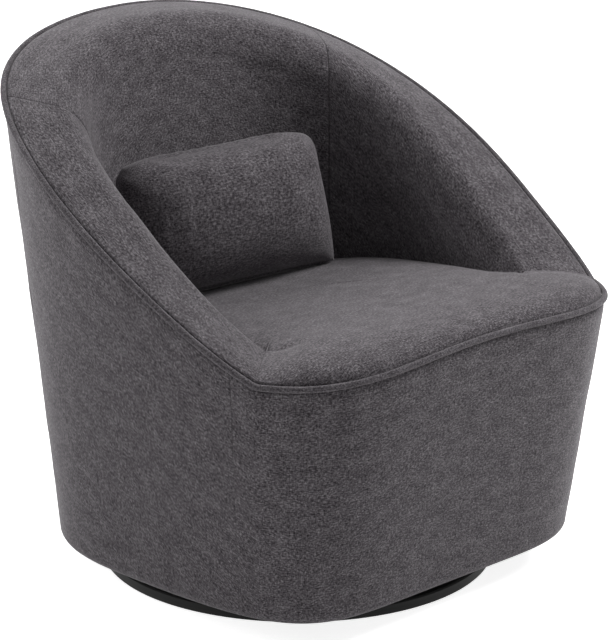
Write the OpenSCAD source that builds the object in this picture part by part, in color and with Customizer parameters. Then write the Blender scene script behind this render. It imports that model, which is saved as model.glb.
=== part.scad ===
/* [Shell plan] */
// Half of the width over the outside of the arms, at the piping
half_width = 365; // [340:1:390]
// How far the front edge stands ahead of the widest line
front_depth = 351; // [330:1:370]
// How far the back stands behind the widest line
back_depth = 378; // [360:1:400]
// Squareness of the outline at the sides, where 2 is round
side_square = 2.15; // [2:0.01:2.4]
// Squareness of the outline at the front
front_square = 4.9; // [3:0.1:6]
// Squareness of the outline at the back
back_square = 2.57; // [2:0.01:3]

/* [Rim] */
// Height of the piping at the middle of the seat front
front_z = 390; // [370:1:410]
// How much lower the piping runs at the front corners
corner_drop = 16; // [0:1:24]
// Height of the piping at the middle of the back
back_z = 701; // [660:1:740]
// Angle from the front at which the arms start to rise, in degrees
arm_start = 52; // [48:1:56]
// Power that shapes the sweep of the arms up to the back
sweep_power = 1.05; // [1:0.01:1.3]

/* [Foot of the walls] */
// Half of the body's width just above its rounded lower edge
foot_half_width = 308; // [296:1:330]
// How far the front of the foot stands ahead of the widest line
foot_front = 304; // [292:1:320]
// How far the back of the foot stands behind the widest line
foot_back = 295; // [287:1:330]
// Squareness of the foot's outline at the sides
foot_side_square = 2.9; // [2.2:0.1:3.4]
// Squareness of the foot's outline at the front
foot_front_square = 5.8; // [3:0.1:6.5]
// Squareness of the foot's outline at the back
foot_back_square = 2; // [2:0.1:3]
// Height of the lowest edge of the upholstery
bottom_z = 36; // [34:0.5:38]
// Radius of the rounded lower edge
edge_r = 20; // [16:1:24]

/* [Inside] */
// Clear width between the arms at the back
inner_width = 514; // [500:1:550]
// How much each arm swells inwards towards its front end
end_swell = 23; // [0:1:26]
// Angle over which the front end's swelling fades to a third, in degrees
end_fade = 26.5; // [20:0.5:32]
// Distance from the widest line to the inside of the back, at seat height
inner_back = 195; // [180:1:210]
// How far the inside of the back leans back, in mm per mm of height
back_rake = 0.2; // [0.1:0.01:0.25]
// Squareness of the inside outline at the back
inner_square = 2.8; // [2.2:0.1:3.4]
// Height at which inner_back is measured
seat_height = 360; // [340:1:380]
// How far the rolled crest stands above the piping along the back
crest_rise = 7; // [5:0.5:12]
// How much higher it stands at the front ends of the arms
end_rise = 10.5; // [6:0.5:12]
// Share of the shell's thickness that lies outside the top of the crest
crest_share = 0.6; // [0.5:0.01:0.65]
// How much that share grows at the front ends of the arms
end_share = 0.24; // [0.15:0.01:0.25]
// Drop from the piping to where the inside face starts
shoulder = 50; // [40:1:52]

/* [Seat] */
// Height of the seat's crown on the widest line
crown_z = 379; // [370:1:392]
// Fall of the seat towards the back, in mm per mm
seat_pitch = 0.13; // [0.06:0.01:0.15]
// Height of the seam between seat and arm at the arm's front end
crease_z = 376; // [366:1:382]
// Fall of that seam towards the back, in mm per mm
crease_fall = 0.135; // [0.05:0.005:0.16]
// Lowest height of that seam, along the back
crease_low = 337; // [325:1:345]
// Depth of the seat cover's tuck beside the arms
tuck = 24; // [10:1:40]

/* [Upholstery] */
// Thickness of an outside panel with its wadding
panel_t = 4; // [3:0.5:5]
// Width of the hem that turns under the body
hem_w = 25; // [15:1:35]
// Thickness of the inside covers
cover_t = 2.5; // [1.5:0.5:4]
// Thickness of the fibreboard behind the outside panels
board_t = 2.5; // [2:0.5:4]
// Radius of the piping
welt_r = 4.3; // [3:0.1:5]
// How far the middle of the piping lies inside the wall
welt_in = 2; // [1:0.5:3]
// Angle from the front of the seam between front and side panels, in degrees
front_seam = 57; // [56.5:0.5:62]
// Angle from the front of the seam between arm and back, in degrees
back_seam = 125; // [118:1:132]
// Clearance between soft pieces
soft_gap = 0.3; // [0.2:0.1:0.5]
// Clearance between the seat and the arms and back beside it
seat_gap = 1.5; // [1.4:0.1:3]

/* [Timber frame] */
// Thickness of the plywood under the body
platform_t = 15; // [12:1:18]
// Thickness of the seat frame's rails
rail_t = 18; // [15:1:21]
// Height of the top of the seat frame
rail_z = 280; // [272:1:284]
// Half width of the opening in the seat frame
opening_half = 235; // [220:1:245]
// Front edge of that opening, ahead of the widest line
opening_front = 255; // [240:1:265]
// Back edge of that opening, behind the widest line
opening_back = 125; // [110:1:130]
// Thickness of the upright ribs
rib_t = 15; // [12:1:18]
// Depth of the ribs above the seat, and width of the top rails
rib_d = 27; // [22:1:32]
// Depth of the ribs below the seat
leg_rib_d = 55; // [40:1:65]
// Height of the top rails
top_rail_h = 20; // [15:1:25]
// Drop from the piping to the top of the top rails
top_rail_drop = 50; // [46:1:56]

/* [Seat springs] */
// Number of zigzag springs
spring_count = 5; // [3:1:5]
// Distance between springs
spring_pitch = 82; // [70:1:84]
// Radius of the spring wire
wire_r = 1.9; // [1.6:0.1:2.2]
// Half loops of each spring
spring_loops = 11; // [9:2:13]
// Width of the straight part of a loop
loop_straight = 16; // [10:1:24]
// Thickness of the felt over the springs
felt_t = 2.5; // [1.5:0.5:4]
// Thickness of the webbing straps
strap_t = 1.5; // [1:0.1:2]
// Width of the webbing straps
strap_w = 50; // [40:1:60]

/* [Swivel base] */
// How far the swivel axis lies ahead of the middle of the footprint
axis_ahead = 15; // [5:1:25]
// Radius of the round base
base_r = 267; // [240:1:285]
// Thickness of the round base
base_t = 15; // [12:0.5:16]
// Thickness of a glide's pad
glide_t = 2.5; // [2:0.5:3]
// Radius of a glide
glide_r = 12; // [9:1:15]
// Number of glides
glide_count = 8; // [5:1:10]
// Side of the square swivel plates
plate_w = 230; // [210:1:250]
// Thickness of the swivel plates
plate_t = 2; // [1.5:0.5:3]
// Radius of the circle that the balls run on
race_r = 82; // [70:1:88]
// Radius of a bearing ball
ball_r = 4.75; // [4:0.25:5]
// Number of bearing balls
ball_count = 20; // [12:1:24]
// Radius of the centre pivot
pivot_r = 8; // [6:0.5:10]
// Running clearance of the pivot in the lower plate
pivot_gap = 0.08; // [0.02:0.01:0.1]
// Distance of a plate bolt from the axis along x and y
bolt_at = 95; // [88:1:100]
// Radius of the plate bolts
bolt_r = 3; // [2.5:0.5:4]

/* [Pillow] */
// Width of the pillow
pillow_w = 336; // [300:1:380]
// Height of the pillow
pillow_h = 194; // [160:1:200]
// Thickness of the pillow in the middle
pillow_t = 130; // [90:1:135]
// How far the pillow's sides draw in between its corners, as a share
pillow_pull = 0.02; // [0.01:0.01:0.08]
// How far the pillow's corners are rounded off, as a share
pillow_corner = 0.05; // [0.02:0.01:0.08]
// Lean of the pillow towards the back, in degrees
pillow_lean = 17.3; // [12:0.1:20]
// Turn of the pillow about the upright, in degrees
pillow_yaw = -7.7; // [-10:0.1:0]
// Sideways place of the pillow's middle
pillow_x = -12; // [-20:1:20]
// Place of the pillow's middle behind the widest line
pillow_back = 118.7; // [110:0.1:124]
// Height of the pillow's middle over the seat below it
pillow_rise = 96.4; // [96:0.1:108]

/* [Hidden] */

fabric_dark = [0.22, 0.21, 0.22];
foam_cream = [0.93, 0.89, 0.74];
plywood = [0.78, 0.62, 0.42];
black_paint = [0.06, 0.06, 0.06];
zinc = [0.7, 0.71, 0.73];

// The widest line lies here, so that the whole footprint is centred on the origin.
plan_y = (front_depth - back_depth) / 2;
axis_y = -axis_ahead;
// Least gap that faces across two facetings keep.
facet_gap = 0.9;

// Heights of the swivel stack, from the floor up.
base_top = glide_t + base_t;
lower_plate_top = base_top + plate_t;
platform_z = bottom_z + panel_t;
platform_top = platform_z + platform_t;
dust_t = 1;
upper_plate_top = platform_z - dust_t;
upper_plate_z = upper_plate_top - plate_t;
ball_z = (lower_plate_top + upper_plate_z) / 2;
ball_gap = 0.15;

// Heights of the seat stack.
leg_rib_top = rail_z - rail_t;
clip_r = wire_r + 1.5;
wire_z = rail_z + clip_r + 0.2;
felt_z = wire_z + clip_r + 0.2;
foam_z = felt_z + felt_t + soft_gap;

// Insets from the wall of what stands behind the outside panels.
board_in = panel_t + 2 * soft_gap;
rib_in = board_in + board_t + facet_gap;
strap_in = rib_in + rib_d + 0.4;
foam_in = strap_in + strap_t + soft_gap;

// Folded angle: the same on both sides of the chair, 0 at the front and 180 at the back.
function fold(t) = abs(t) > 180 ? 360 - abs(t) : abs(t);

// Outline seen from above, as a radius at the angle t from the front. A size list holds the
// half width, the front and back depths, and the squareness at the sides, front and back.
rim_size = [half_width, front_depth, back_depth, side_square, front_square, back_square];
foot_size = [foot_half_width, foot_front, foot_back,
    foot_side_square, foot_front_square, foot_back_square];
function outline_r(t, size) = let (
    depth = cos(t) > 0 ? size[1] : size[2],
    n = size[3] + ((cos(t) > 0 ? size[4] : size[5]) - size[3]) * pow(cos(t), 2))
    pow(pow(abs(sin(t)) / size[0], n) + pow(abs(cos(t)) / depth, n), -1 / n);
function rim_r(t) = outline_r(t, rim_size);

// Height of the rim: level with lower corners in front, then one sweep up to the back.
function rim_z(t) = let (
    a = fold(t),
    corner = front_z - corner_drop * (1 - cos(180 * min(a, arm_start) / arm_start)) / 2,
    share = pow(sin(90 * max(a - arm_start, 0) / (180 - arm_start)), sweep_power))
    corner + (back_z - front_z + corner_drop) * share;

// The wall is straight from its foot, above the rounded lower edge, up to the rim.
foot_z = bottom_z + edge_r;
function wall_r(t, z) = let (foot = outline_r(t, foot_size))
    foot + (rim_r(t) - foot) * (z - foot_z) / (rim_z(t) - foot_z);

// How much a radial cut through the wall is skewed, and how steep the rim runs there.
function skew_of(t, size) =
    abs(outline_r(t + 1, size) - outline_r(t - 1, size)) / (outline_r(t, size) * 2 * PI / 180);
function skew(t) = skew_of(t, rim_size);
function rim_run(t) = rim_r(t) * PI / 180 * sqrt(1 + pow(skew(t), 2));
function steep(t) = abs(rim_z(t + 0.5) - rim_z(t - 0.5)) / rim_run(t);

// Inset at which an inside cover starts, beside the piping, and the outside panel's top.
function cover_in(t) = welt_in + (welt_r + soft_gap) * sqrt(1 + pow(skew(t), 2));
function panel_top(t) = rim_z(t) - (welt_r + soft_gap) * sqrt(1 + pow(steep(t), 2));

// How near the front end of an arm is: 1 there, fading away along the arm.
function near_end(t) = exp((arm_start - fold(t)) / end_fade);

// Inside outline between the arms and along the back, at a height z.
function inner_depth(z) = inner_back + back_rake * (z - seat_height);
function inner_r(t, z) = let (a = fold(t), half = inner_width / 2 - end_swell * near_end(t))
    a < 90 ? half / sin(a)
    : pow(pow(sin(a) / half, inner_square)
        + pow(abs(cos(a)) / inner_depth(z), inner_square), -1 / inner_square);

// The inside face starts higher up over a few degrees behind the front end of an arm.
lift_angle = 13;
function shoulder_z(t) = rim_z(t)
    - shoulder * min(1, 0.5 + 0.5 * (fold(t) - arm_start) / lift_angle);

// The inside face is straight from the seat frame up to the shoulder.
cover_foot = rail_z + soft_gap;
function inside_r(t, z) = let (foot = inner_r(t, cover_foot))
    foot + (inner_r(t, shoulder_z(t)) - foot) * (z - cover_foot) / (shoulder_z(t) - cover_foot);

function at(t, r, z) = [r * sin(t), plan_y - r * cos(t), z];
function unit(v) = v / norm(v);

// Seen cross-section of an arm or the back at the angle t: from the piping over the crest and
// down the inside face, as [radius, height] pairs with the stuffing on the left.
// How far the edge of an inside cover reaches down beside the piping.
cover_dip = 2;
crest_steps = 5;
seen_points = 2 * crest_steps + 3;
function seen_line(t) = let (
    z0 = rim_z(t),
    rise = crest_rise + end_rise * near_end(t),
    thick = rim_r(t) - inner_r(t, shoulder_z(t)),
    out_w = (crest_share + end_share * near_end(t)) * thick,
    start = acos(1 - cover_in(t) / out_w),
    outer = [for (i = [0:crest_steps - 1]) let (p = start + (90 - start) * i / crest_steps)
        [rim_r(t) - out_w * (1 - cos(p)), z0 + rise * sin(p)]],
    inner = [for (i = [0:crest_steps]) let (p = 90 - 90 * i / crest_steps)
        [rim_r(t) - out_w - (thick - out_w) * cos(p),
            shoulder_z(t) + (z0 + rise - shoulder_z(t)) * sin(p)]])
    concat([[rim_r(t) - cover_in(t), z0 - cover_dip]], outer, inner,
        [[inner_r(t, cover_foot), cover_foot]]);

// The same line moved into the stuffing by d, with its ends kept level.
function moved_in(line, d) = let (n = len(line)) [for (k = [0:n - 1]) let (
    a = line[max(k - 1, 0)],
    b = line[min(k + 1, n - 1)],
    tangent = unit(b - a),
    m = k == n - 1 ? [d, 0] : k == 0 ? [-d, 0] : d * [-tangent[1], tangent[0]])
    line[k] + m];

function reverse(v) = [for (i = [len(v) - 1:-1:0]) v[i]];

// Triangles across a cross-section of m points, as a strip between the points that face each
// other, counted from its first point and back from its last.
function strip_faces(first, m, up) = [for (j = [0:m / 2 - 2]) let (
    a = first + j,
    b = first + m - 1 - j)
    each up ? [[a, a + 1, b - 1], [a, b - 1, b]] : [[a, b - 1, a + 1], [a, b, b - 1]]];

// Triangles from a ring of n points to the point number middle.
function fan_faces(first, n, middle, up) = [for (j = [0:n - 1]) up
    ? [first + j, middle, first + (j + 1) % n] : [first + j, first + (j + 1) % n, middle]];

// Solid through closed cross-sections that all have the same even number of points. From the
// point number turn on, the faces are split the other way, so that both sides of a sheet run
// alike. Its end faces are strips or, where hub names two points, fans from halfway between them.
module through_sections(sections, turn, closed = false, hub = undef) {
    n = len(sections);
    m = len(sections[0]);
    last = closed ? n - 1 : n - 2;
    sides = [for (i = [0:last], j = [0:m - 1]) let (
        k = (i + 1) % n,
        l = (j + 1) % m)
        each j < turn
            ? [[i * m + j, i * m + l, k * m + l], [i * m + j, k * m + l, k * m + j]]
            : [[i * m + j, i * m + l, k * m + j], [i * m + l, k * m + l, k * m + j]]];
    middles = is_undef(hub) ? []
        : [for (s = [sections[0], sections[n - 1]]) (s[hub[0]] + s[hub[1]]) / 2];
    caps = closed ? []
        : is_undef(hub) ? concat(strip_faces(0, m, false), strip_faces((n - 1) * m, m, true))
        : concat(fan_faces(0, m, n * m, true), fan_faces((n - 1) * m, m, n * m + 1, false));
    polyhedron(concat([for (s = sections) each s], middles), concat(sides, caps), convexity = 10);
}

// Band round the shell: at each angle the pairs of its line become points in space.
module band(angles, lines, turn, hub = undef) {
    through_sections([for (i = [0:len(angles) - 1])
        [for (p = lines[i]) at(angles[i], p[0], p[1])]], turn, hub = hub);
}

function steps(from, to, n) = [for (i = [0:n]) from + (to - from) * i / n];
seam_gap = 0.06;
arm_angles = steps(arm_start + 0.3, back_seam - seam_gap, 12);
back_angles = steps(back_seam + seam_gap, 360 - back_seam - seam_gap, 20);
side_angles = steps(front_seam + seam_gap, back_seam - seam_gap, 12);
front_steps = 24;
front_angles = concat([-front_seam + seam_gap], steps(-arm_start, arm_start, front_steps),
    [front_seam - seam_gap]);

module mirrored_if(left) {
    if (left) mirror([1, 0, 0]) children();
    else children();
}

// Outside panel: wall, rounded lower edge and the hem under the body.
function panel_section(t) = let (
    top = panel_top(t),
    r0 = platform_r(t),
    hem = r0 - hem_w,
    inner = edge_r - panel_t,
    inside = [for (i = [0:edge_steps]) let (p = 90 * i / edge_steps)
        [r0 + inner * cos(p), foot_z - inner * sin(p)]],
    outside = [for (i = [edge_steps:-1:0]) let (p = 90 * i / edge_steps)
        [r0 + edge_r * cos(p), foot_z - edge_r * sin(p)]])
    concat([[wall_r(t, top) - panel_t, top]], inside, [[hem, platform_z], [hem, bottom_z]],
        outside, [[wall_r(t, top), top]]);

edge_steps = 4;
module outside_panel(angles) {
    color(fabric_dark) band(angles, [for (t = angles) panel_section(t)], edge_steps + 3);
}

// Flat strip behind the panels, between two heights and two insets.
function strip_section(t, in1, in2, z1, z2) = [
    [wall_r(t, z2) - in2, z2], [wall_r(t, z1) - in2, z1],
    [wall_r(t, z1) - in1, z1], [wall_r(t, z2) - in1, z2]];

module backing_board(angles, top_drop) {
    color("peru") band(angles, [for (t = angles) strip_section(t, board_in, board_in + board_t,
        foot_z + 1, fold(t) < front_seam ? rail_z : rim_z(t) - top_drop)], 2);
}

// Webbing straps across the ribs: the lower and upper edge of each, from its share of height.
arm_straps = [0.3, 0.72];
back_straps = [0.2, 0.48, 0.76];
function strap_edges(t, straps) = let (
    top = rim_z(t) - top_rail_drop - top_rail_h,
    half = min(strap_w / 2, (top - rail_z) * 0.13))
    [for (share = straps, side = [-1, 1]) rail_z + (top - rail_z) * share + side * half];

module webbing(angles, straps) {
    color("dimgray") for (k = [0:len(straps) - 1])
        band(angles, [for (t = angles) let (z = strap_edges(t, straps))
            strip_section(t, strap_in, strap_in + strap_t, z[2 * k], z[2 * k + 1])], 2);
}

// Stuffing of an arm or the back: a thick inside part and a part that wraps the top rail.
function stuffing_section(t, straps) = let (
    over = rim_z(t) - top_rail_drop + facet_gap)
    concat(moved_in(seen_line(t), cover_t + soft_gap),
        [for (z = concat([cover_foot], strap_edges(t, straps), [over])) [wall_r(t, z) - foam_in, z]],
        [[wall_r(t, over) - rib_in, over]]);

// Its ends fan out from between the top of the crest and the back edge over the top rail.
module stuffing(angles, straps) {
    lines = [for (t = angles) stuffing_section(t, straps)];
    color(foam_cream) band(angles, lines, seen_points, [crest_steps + 1, len(lines[0]) - 2]);
}

function cover_section(t) = concat(seen_line(t), reverse(moved_in(seen_line(t), cover_t)));

module inside_cover(angles) {
    color(fabric_dark) band(angles, [for (t = angles) cover_section(t)], seen_points);
}

// Top rail under the crest, following its sweep.
function top_rail_section(t) = let (z2 = rim_z(t) - top_rail_drop)
    strip_section(t, rib_in, rib_in + rib_d, z2 - top_rail_h, z2);

module top_rail(from, to, n) {
    angles = steps(from, to, n);
    color(plywood) band(angles, [for (t = angles) top_rail_section(t)], 2);
}

// Upright rib cut from plywood, standing on a radius at the angle t.
module rib(t, low, high, deep) {
    skewed = rib_t / 2 * max(skew(t), skew_of(t, foot_size));
    outer = rib_in + skewed + 0.6;
    inner = rib_in + deep - skewed;
    translate([0, plan_y, 0]) rotate([0, 0, t - 90]) rotate([90, 0, 0])
        linear_extrude(rib_t, center = true) polygon([
            [wall_r(t, low) - inner, low], [wall_r(t, low) - outer, low],
            [wall_r(t, high) - outer, high], [wall_r(t, high) - inner, high]]);
}

function under_top_rail(t) = rim_z(t) - top_rail_drop - top_rail_h - soft_gap
    - rib_t / 2 * steep(t) * 1.1 - 0.2;

module upper_ribs(angles) {
    color(plywood) for (t = angles) rib(t, rail_z, under_top_rail(t), rib_d);
}

module leg_ribs(angles) {
    color(plywood) for (t = angles) rib(t, platform_top, leg_rib_top, leg_rib_d);
}

// Flat piece of the seat frame between the outline and the straight sides of its opening.
front_mitre = atan2(opening_half, opening_front);
back_mitre = 180 - atan2(opening_half, opening_back);
frame_in = rib_in + 0.6;
function frame_point(t) = let (r = wall_r(t, leg_rib_top) - frame_in)
    [r * sin(t), plan_y - r * cos(t)];

module seat_frame_piece(from, to, n, corners) {
    color(plywood) translate([0, 0, leg_rib_top]) linear_extrude(rail_t)
        polygon(concat([for (t = steps(from, to, n)) frame_point(t)], corners));
}

opening_corner_front = [opening_half, plan_y - opening_front];
opening_corner_back = [opening_half, plan_y + opening_back];
function flip_x(p) = [-p[0], p[1]];

// Zigzag springs lie in a plane, hooked into clips on the front and back of the frame.
spring_front = plan_y - opening_front - 12;
spring_back = plan_y + opening_back + 12;
loop_step = (spring_back - spring_front) / spring_loops;
loop_r = loop_step / 2;
spring_places = [for (i = [0:spring_count - 1]) (i - (spring_count - 1) / 2) * spring_pitch];

// Centre line of a spring: straights across, joined by half circles on alternate sides.
bend_steps = 4;
function spring_path(x) = [for (i = [0:spring_loops], k = [0:i < spring_loops ? bend_steps : 1]) let (
    side = i % 2 == 0 ? 1 : -1,
    a = 180 * (k - 1) / bend_steps,
    y = spring_front + i * loop_step)
    k == 0 ? [x - side * loop_straight / 2, y, wire_z]
    : [x + side * (loop_straight / 2 + loop_r * sin(a)), y + loop_r * (1 - cos(a)), wire_z]];

// Ring of the wire round the point k of its path, square to the way the path runs there.
wire_sides = 6;
function wire_ring(path, k) = let (
    along = unit(path[min(k + 1, len(path) - 1)] - path[max(k - 1, 0)]),
    side = [along[1], -along[0], 0])
    [for (i = [0:wire_sides - 1]) let (a = i * 360 / wire_sides)
        path[k] + wire_r * (cos(a) * side + [0, 0, sin(a)])];

module spring(x) {
    path = spring_path(x);
    through_sections([for (k = [0:len(path) - 1]) wire_ring(path, k)], wire_sides);
}

clip_w = 12;
clip_plate = 10;
clip_ends = [for (x = spring_places, end = [0, 1])
    [x, end == 0 ? spring_front : spring_back, end == 0 ? -1 : 1]];

module spring_clip(p) {
    translate([p[0], p[1], wire_z]) difference() {
        union() {
            rotate([0, 90, 0]) cylinder(h = clip_w, r = clip_r, center = true, $fn = 32);
            translate([-clip_w / 2, p[2] > 0 ? 0 : -clip_plate - clip_r, rail_z - wire_z])
                cube([clip_w, clip_plate + clip_r, 1.2]);
        }
        rotate([0, 90, 0]) cylinder(h = clip_w + 2, r = wire_r + 0.1, center = true, $fn = 32);
    }
}

module clip_nail(p) {
    translate([p[0], p[1] + p[2] * (clip_r + clip_plate / 2), rail_z + 1.2]) {
        cylinder(h = 1, r = 2.4, $fn = 24);
        translate([0, 0, -14]) cylinder(h = 14.5, r = 0.9, $fn = 24);
    }
}

// Plan of the seat: the rim in front of the arms, and the inside outline beside and behind.
// It shares its stations with the arms and the back, so that their facets lie side by side.
ear_gap = 0.15;
arm_rays = [for (i = [0, 2, 4, 6, 7, 8, 9, 10, 11, 12]) arm_angles[i]];
back_rays = [for (i = [1:len(back_angles) - 2]) back_angles[i]];
seat_rays = concat(steps(-arm_start + ear_gap, arm_start - ear_gap, front_steps),
    arm_rays, back_rays, [for (t = reverse(arm_rays)) 360 - t]);
function in_front(t) = fold(t) < arm_start;
crease_front = cos(arm_start) * inner_r(arm_start, seat_height);
function crease_at(t) = max(crease_low, crease_z - crease_fall
    * (crease_front - inner_r(t, seat_height) * cos(t)));
function seat_edge_z(t) = in_front(t) ? rim_z(t) + 0.5 : crease_at(t);
function seat_edge_r(t) = in_front(t) ? rim_r(t) - cover_in(t)
    : inside_r(t, crease_at(t)) - seat_gap;
function crown(y) = crown_z - seat_pitch * (y - plan_y);
ring_shares = [1, 0.97, 0.92, 0.84, 0.7, 0.45];
function seat_point(t, share, d) = let (
    r = (seat_edge_r(t) - d) * share,
    y = plan_y - r * cos(t),
    edge = seat_edge_z(t))
    at(t, r, edge + (crown(y) - edge) * sqrt(1 - pow(share, 5)) - d);

function seat_rings(d) = [for (s = ring_shares) [for (t = seat_rays) seat_point(t, s, d)]];
function tucked_r(t) = inside_r(t, seat_edge_z(t) - tuck) - seat_gap;
function seat_hem(d) = [for (t = seat_rays) at(t, (in_front(t) ? seat_edge_r(t) : tucked_r(t)) - d,
    seat_edge_z(t) - (in_front(t) ? welt_r : tuck))];
function seat_middle(d) = [0, plan_y, crown(plan_y) - d];

// Faces between rings that lie one above or inside the other; up is true for an upper side.
function ring_faces(first, rings, n, up) = [for (i = [0:rings - 2], j = [0:n - 1]) let (
    a = first + i * n + j,
    b = first + i * n + (j + 1) % n,
    c = b + n,
    d = a + n)
    each up ? [[a, c, b], [a, d, c]] : [[a, b, c], [a, c, d]]];

module seat_skin() {
    n = len(seat_rays);
    rings = len(ring_shares) + 1;
    outer = concat([seat_hem(0)], seat_rings(0));
    inner = concat([seat_hem(cover_t)], seat_rings(cover_t));
    second = rings * n;
    middles = 2 * rings * n;
    polyhedron(concat([for (r = outer) each r], [for (r = inner) each r],
            [seat_middle(0), seat_middle(cover_t)]),
        concat(ring_faces(0, rings, n, true), fan_faces((rings - 1) * n, n, middles, true),
            ring_faces(second, rings, n, false),
            fan_faces(second + (rings - 1) * n, n, middles + 1, false),
            [for (j = [0:n - 1]) let (k = (j + 1) % n)
                each [[j, k, second + k], [j, second + k, second + j]]]), convexity = 10);
}

function foam_foot(t) = at(t, in_front(t) ? wall_r(t, foam_z) - board_in - board_t
    : inside_r(t, foam_z) - facet_gap, foam_z);
foam_off = cover_t + soft_gap;

module seat_block() {
    n = len(seat_rays);
    rings = len(ring_shares) + 2;
    layers = concat([[for (t = seat_rays) foam_foot(t)]], [seat_hem(foam_off)],
        seat_rings(foam_off));
    polyhedron(concat([for (r = layers) each r], [seat_middle(foam_off), [0, plan_y, foam_z]]),
        concat(ring_faces(0, rings, n, true), fan_faces((rings - 1) * n, n, rings * n, true),
            fan_faces(0, n, rings * n + 1, false)), convexity = 10);
}

// Rounded square plate with its holes.
module swivel_plate(z, hole_r) {
    translate([0, axis_y, z]) linear_extrude(plate_t) difference() {
        union() {
            square([plate_w, plate_w - 40], center = true);
            square([plate_w - 40, plate_w], center = true);
            for (x = [-1, 1], y = [-1, 1])
                translate([x * (plate_w / 2 - 20), y * (plate_w / 2 - 20)]) circle(20, $fn = 48);
        }
        circle(hole_r, $fn = 64);
        bolt_places() circle(bolt_r + 0.1, $fn = 32);
    }
}

module bolt_places() {
    for (x = [-bolt_at, bolt_at], y = [-bolt_at, bolt_at]) translate([x, y]) children();
}

// Pressed ring that the balls run in: z1 is its foot on the plate, z2 its rim by the balls.
race_half = 9;
race_open = 2.2;
module race(z1, z2) {
    translate([0, axis_y, 0]) rotate_extrude($fn = 128) difference() {
        translate([race_r - race_half, min(z1, z2)]) square([2 * race_half, abs(z2 - z1)]);
        translate([race_r, ball_z]) circle(ball_r + ball_gap, $fn = 64);
    }
}

module base_disc() {
    color(black_paint) translate([0, axis_y, 0]) difference() {
        rotate_extrude($fn = 180) polygon([[0, glide_t], [base_r - 1.5, glide_t],
            [base_r, glide_t + 1.5], [base_r, base_top - 2], [base_r - 2, base_top], [0, base_top]]);
        translate([0, 0, glide_t - 1]) cylinder(h = base_t + 2, r = access_r, $fn = 96);
        bolt_places() translate([0, 0, glide_t - 1]) cylinder(h = base_t + 2, r = tee_r, $fn = 48);
    }
}

access_r = 30;
tee_r = bolt_r + 1.2;

module base_glides() {
    color("whitesmoke") glide_places() {
        cylinder(h = glide_t, r1 = glide_r - 1, r2 = glide_r, $fn = 48);
        translate([0, 0, glide_t - 0.5]) cylinder(h = 11, r = 1.1, $fn = 24);
    }
}

module glide_places() {
    for (i = [0:glide_count - 1]) translate([0, axis_y, 0]) rotate([0, 0, (i + 0.5) * 360 / glide_count])
        translate([base_r - 22, 0, 0]) children();
}

// Tee nut: a flange on the face at z, and a barrel that goes into the wood along dir.
module tee_nut(z, dir, length) {
    translate([0, 0, z]) mirror([0, 0, dir > 0 ? 0 : 1]) difference() {
        union() {
            translate([0, 0, -1.2]) cylinder(h = 1.2, r = 9, $fn = 48);
            cylinder(h = length, r = tee_r, $fn = 48);
        }
        translate([0, 0, -2]) cylinder(h = length + 3, r = bolt_r, $fn = 32);
    }
}

// Bolt with a low round head under or over a swivel plate.
module plate_bolt(z, dir, length) {
    translate([0, 0, z]) mirror([0, 0, dir > 0 ? 0 : 1]) difference() {
        union() {
            translate([0, 0, -3]) cylinder(h = 3, r1 = 4.6, r2 = 6, $fn = 48);
            cylinder(h = length, r = bolt_r - 0.05, $fn = 32);
        }
        translate([0, 0, -4]) cylinder(h = 2.6, r = 2, $fn = 6);
    }
}

module base_tee_nuts() {
    color(zinc) translate([0, axis_y, 0]) bolt_places() tee_nut(glide_t, 1, base_t - 3);
}

module base_bolts() {
    color(zinc) translate([0, axis_y, 0]) bolt_places()
        plate_bolt(lower_plate_top, -1, plate_t + base_t - 1);
}

module swivel_lower_plate() {
    color(zinc) {
        swivel_plate(base_top, pivot_r + pivot_gap);
        race(lower_plate_top, ball_z - race_open);
    }
}

module swivel_upper_plate() {
    color(zinc) {
        swivel_plate(upper_plate_z, pivot_r + 0.02);
        race(upper_plate_z, ball_z + race_open);
    }
}

module ball_cage() {
    color("gold") translate([0, axis_y, ball_z - 0.6]) difference() {
        linear_extrude(1.2) difference() {
            circle(race_r + race_half - 1, $fn = 128);
            circle(race_r - race_half + 1, $fn = 128);
        }
        ball_places() translate([0, 0, -1]) cylinder(h = 4, r = ball_r + 0.2, $fn = 32);
    }
}

module ball_places() {
    for (i = [0:ball_count - 1]) rotate([0, 0, i * 360 / ball_count])
        translate([race_r, 0, 0]) children();
}

module swivel_balls() {
    color("silver") translate([0, axis_y, ball_z]) ball_places() sphere(r = ball_r, $fn = 32);
}

// Hollow pivot, flanged under the lower plate and turned out over the upper plate.
flange_t = 2;
module swivel_pivot() {
    color(zinc) translate([0, axis_y, 0]) difference() {
        union() {
            translate([0, 0, base_top - 0.3 - flange_t]) cylinder(h = flange_t, r = pivot_r + 5, $fn = 64);
            translate([0, 0, base_top - 0.4])
                cylinder(h = upper_plate_top - base_top + 0.5, r = pivot_r, $fn = 64);
            translate([0, 0, upper_plate_top]) cylinder(h = flange_t, r = pivot_r + 4, $fn = 64);
        }
        translate([0, 0, base_top - 5]) cylinder(h = 40, r = pivot_r - 2.5, $fn = 64);
    }
}

module platform_bolts() {
    color(zinc) translate([0, axis_y, 0]) bolt_places()
        plate_bolt(upper_plate_z, 1, plate_t + dust_t + platform_t + 3);
}

module platform_tee_nuts() {
    color(zinc) translate([0, axis_y, 0]) bolt_places() tee_nut(platform_top, -1, platform_t - 3);
}

function platform_r(t) = outline_r(t, foot_size) - edge_r;
module ring_outline(inset) {
    polygon([for (t = [0:4:356]) let (r = platform_r(t) - inset)
        [r * sin(t), plan_y - r * cos(t)]]);
}

module bottom_platform() {
    color(plywood) translate([0, 0, platform_z]) linear_extrude(platform_t) difference() {
        ring_outline(soft_gap);
        translate([0, axis_y]) {
            circle(access_r, $fn = 96);
            bolt_places() circle(tee_r, $fn = 48);
        }
    }
}

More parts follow.
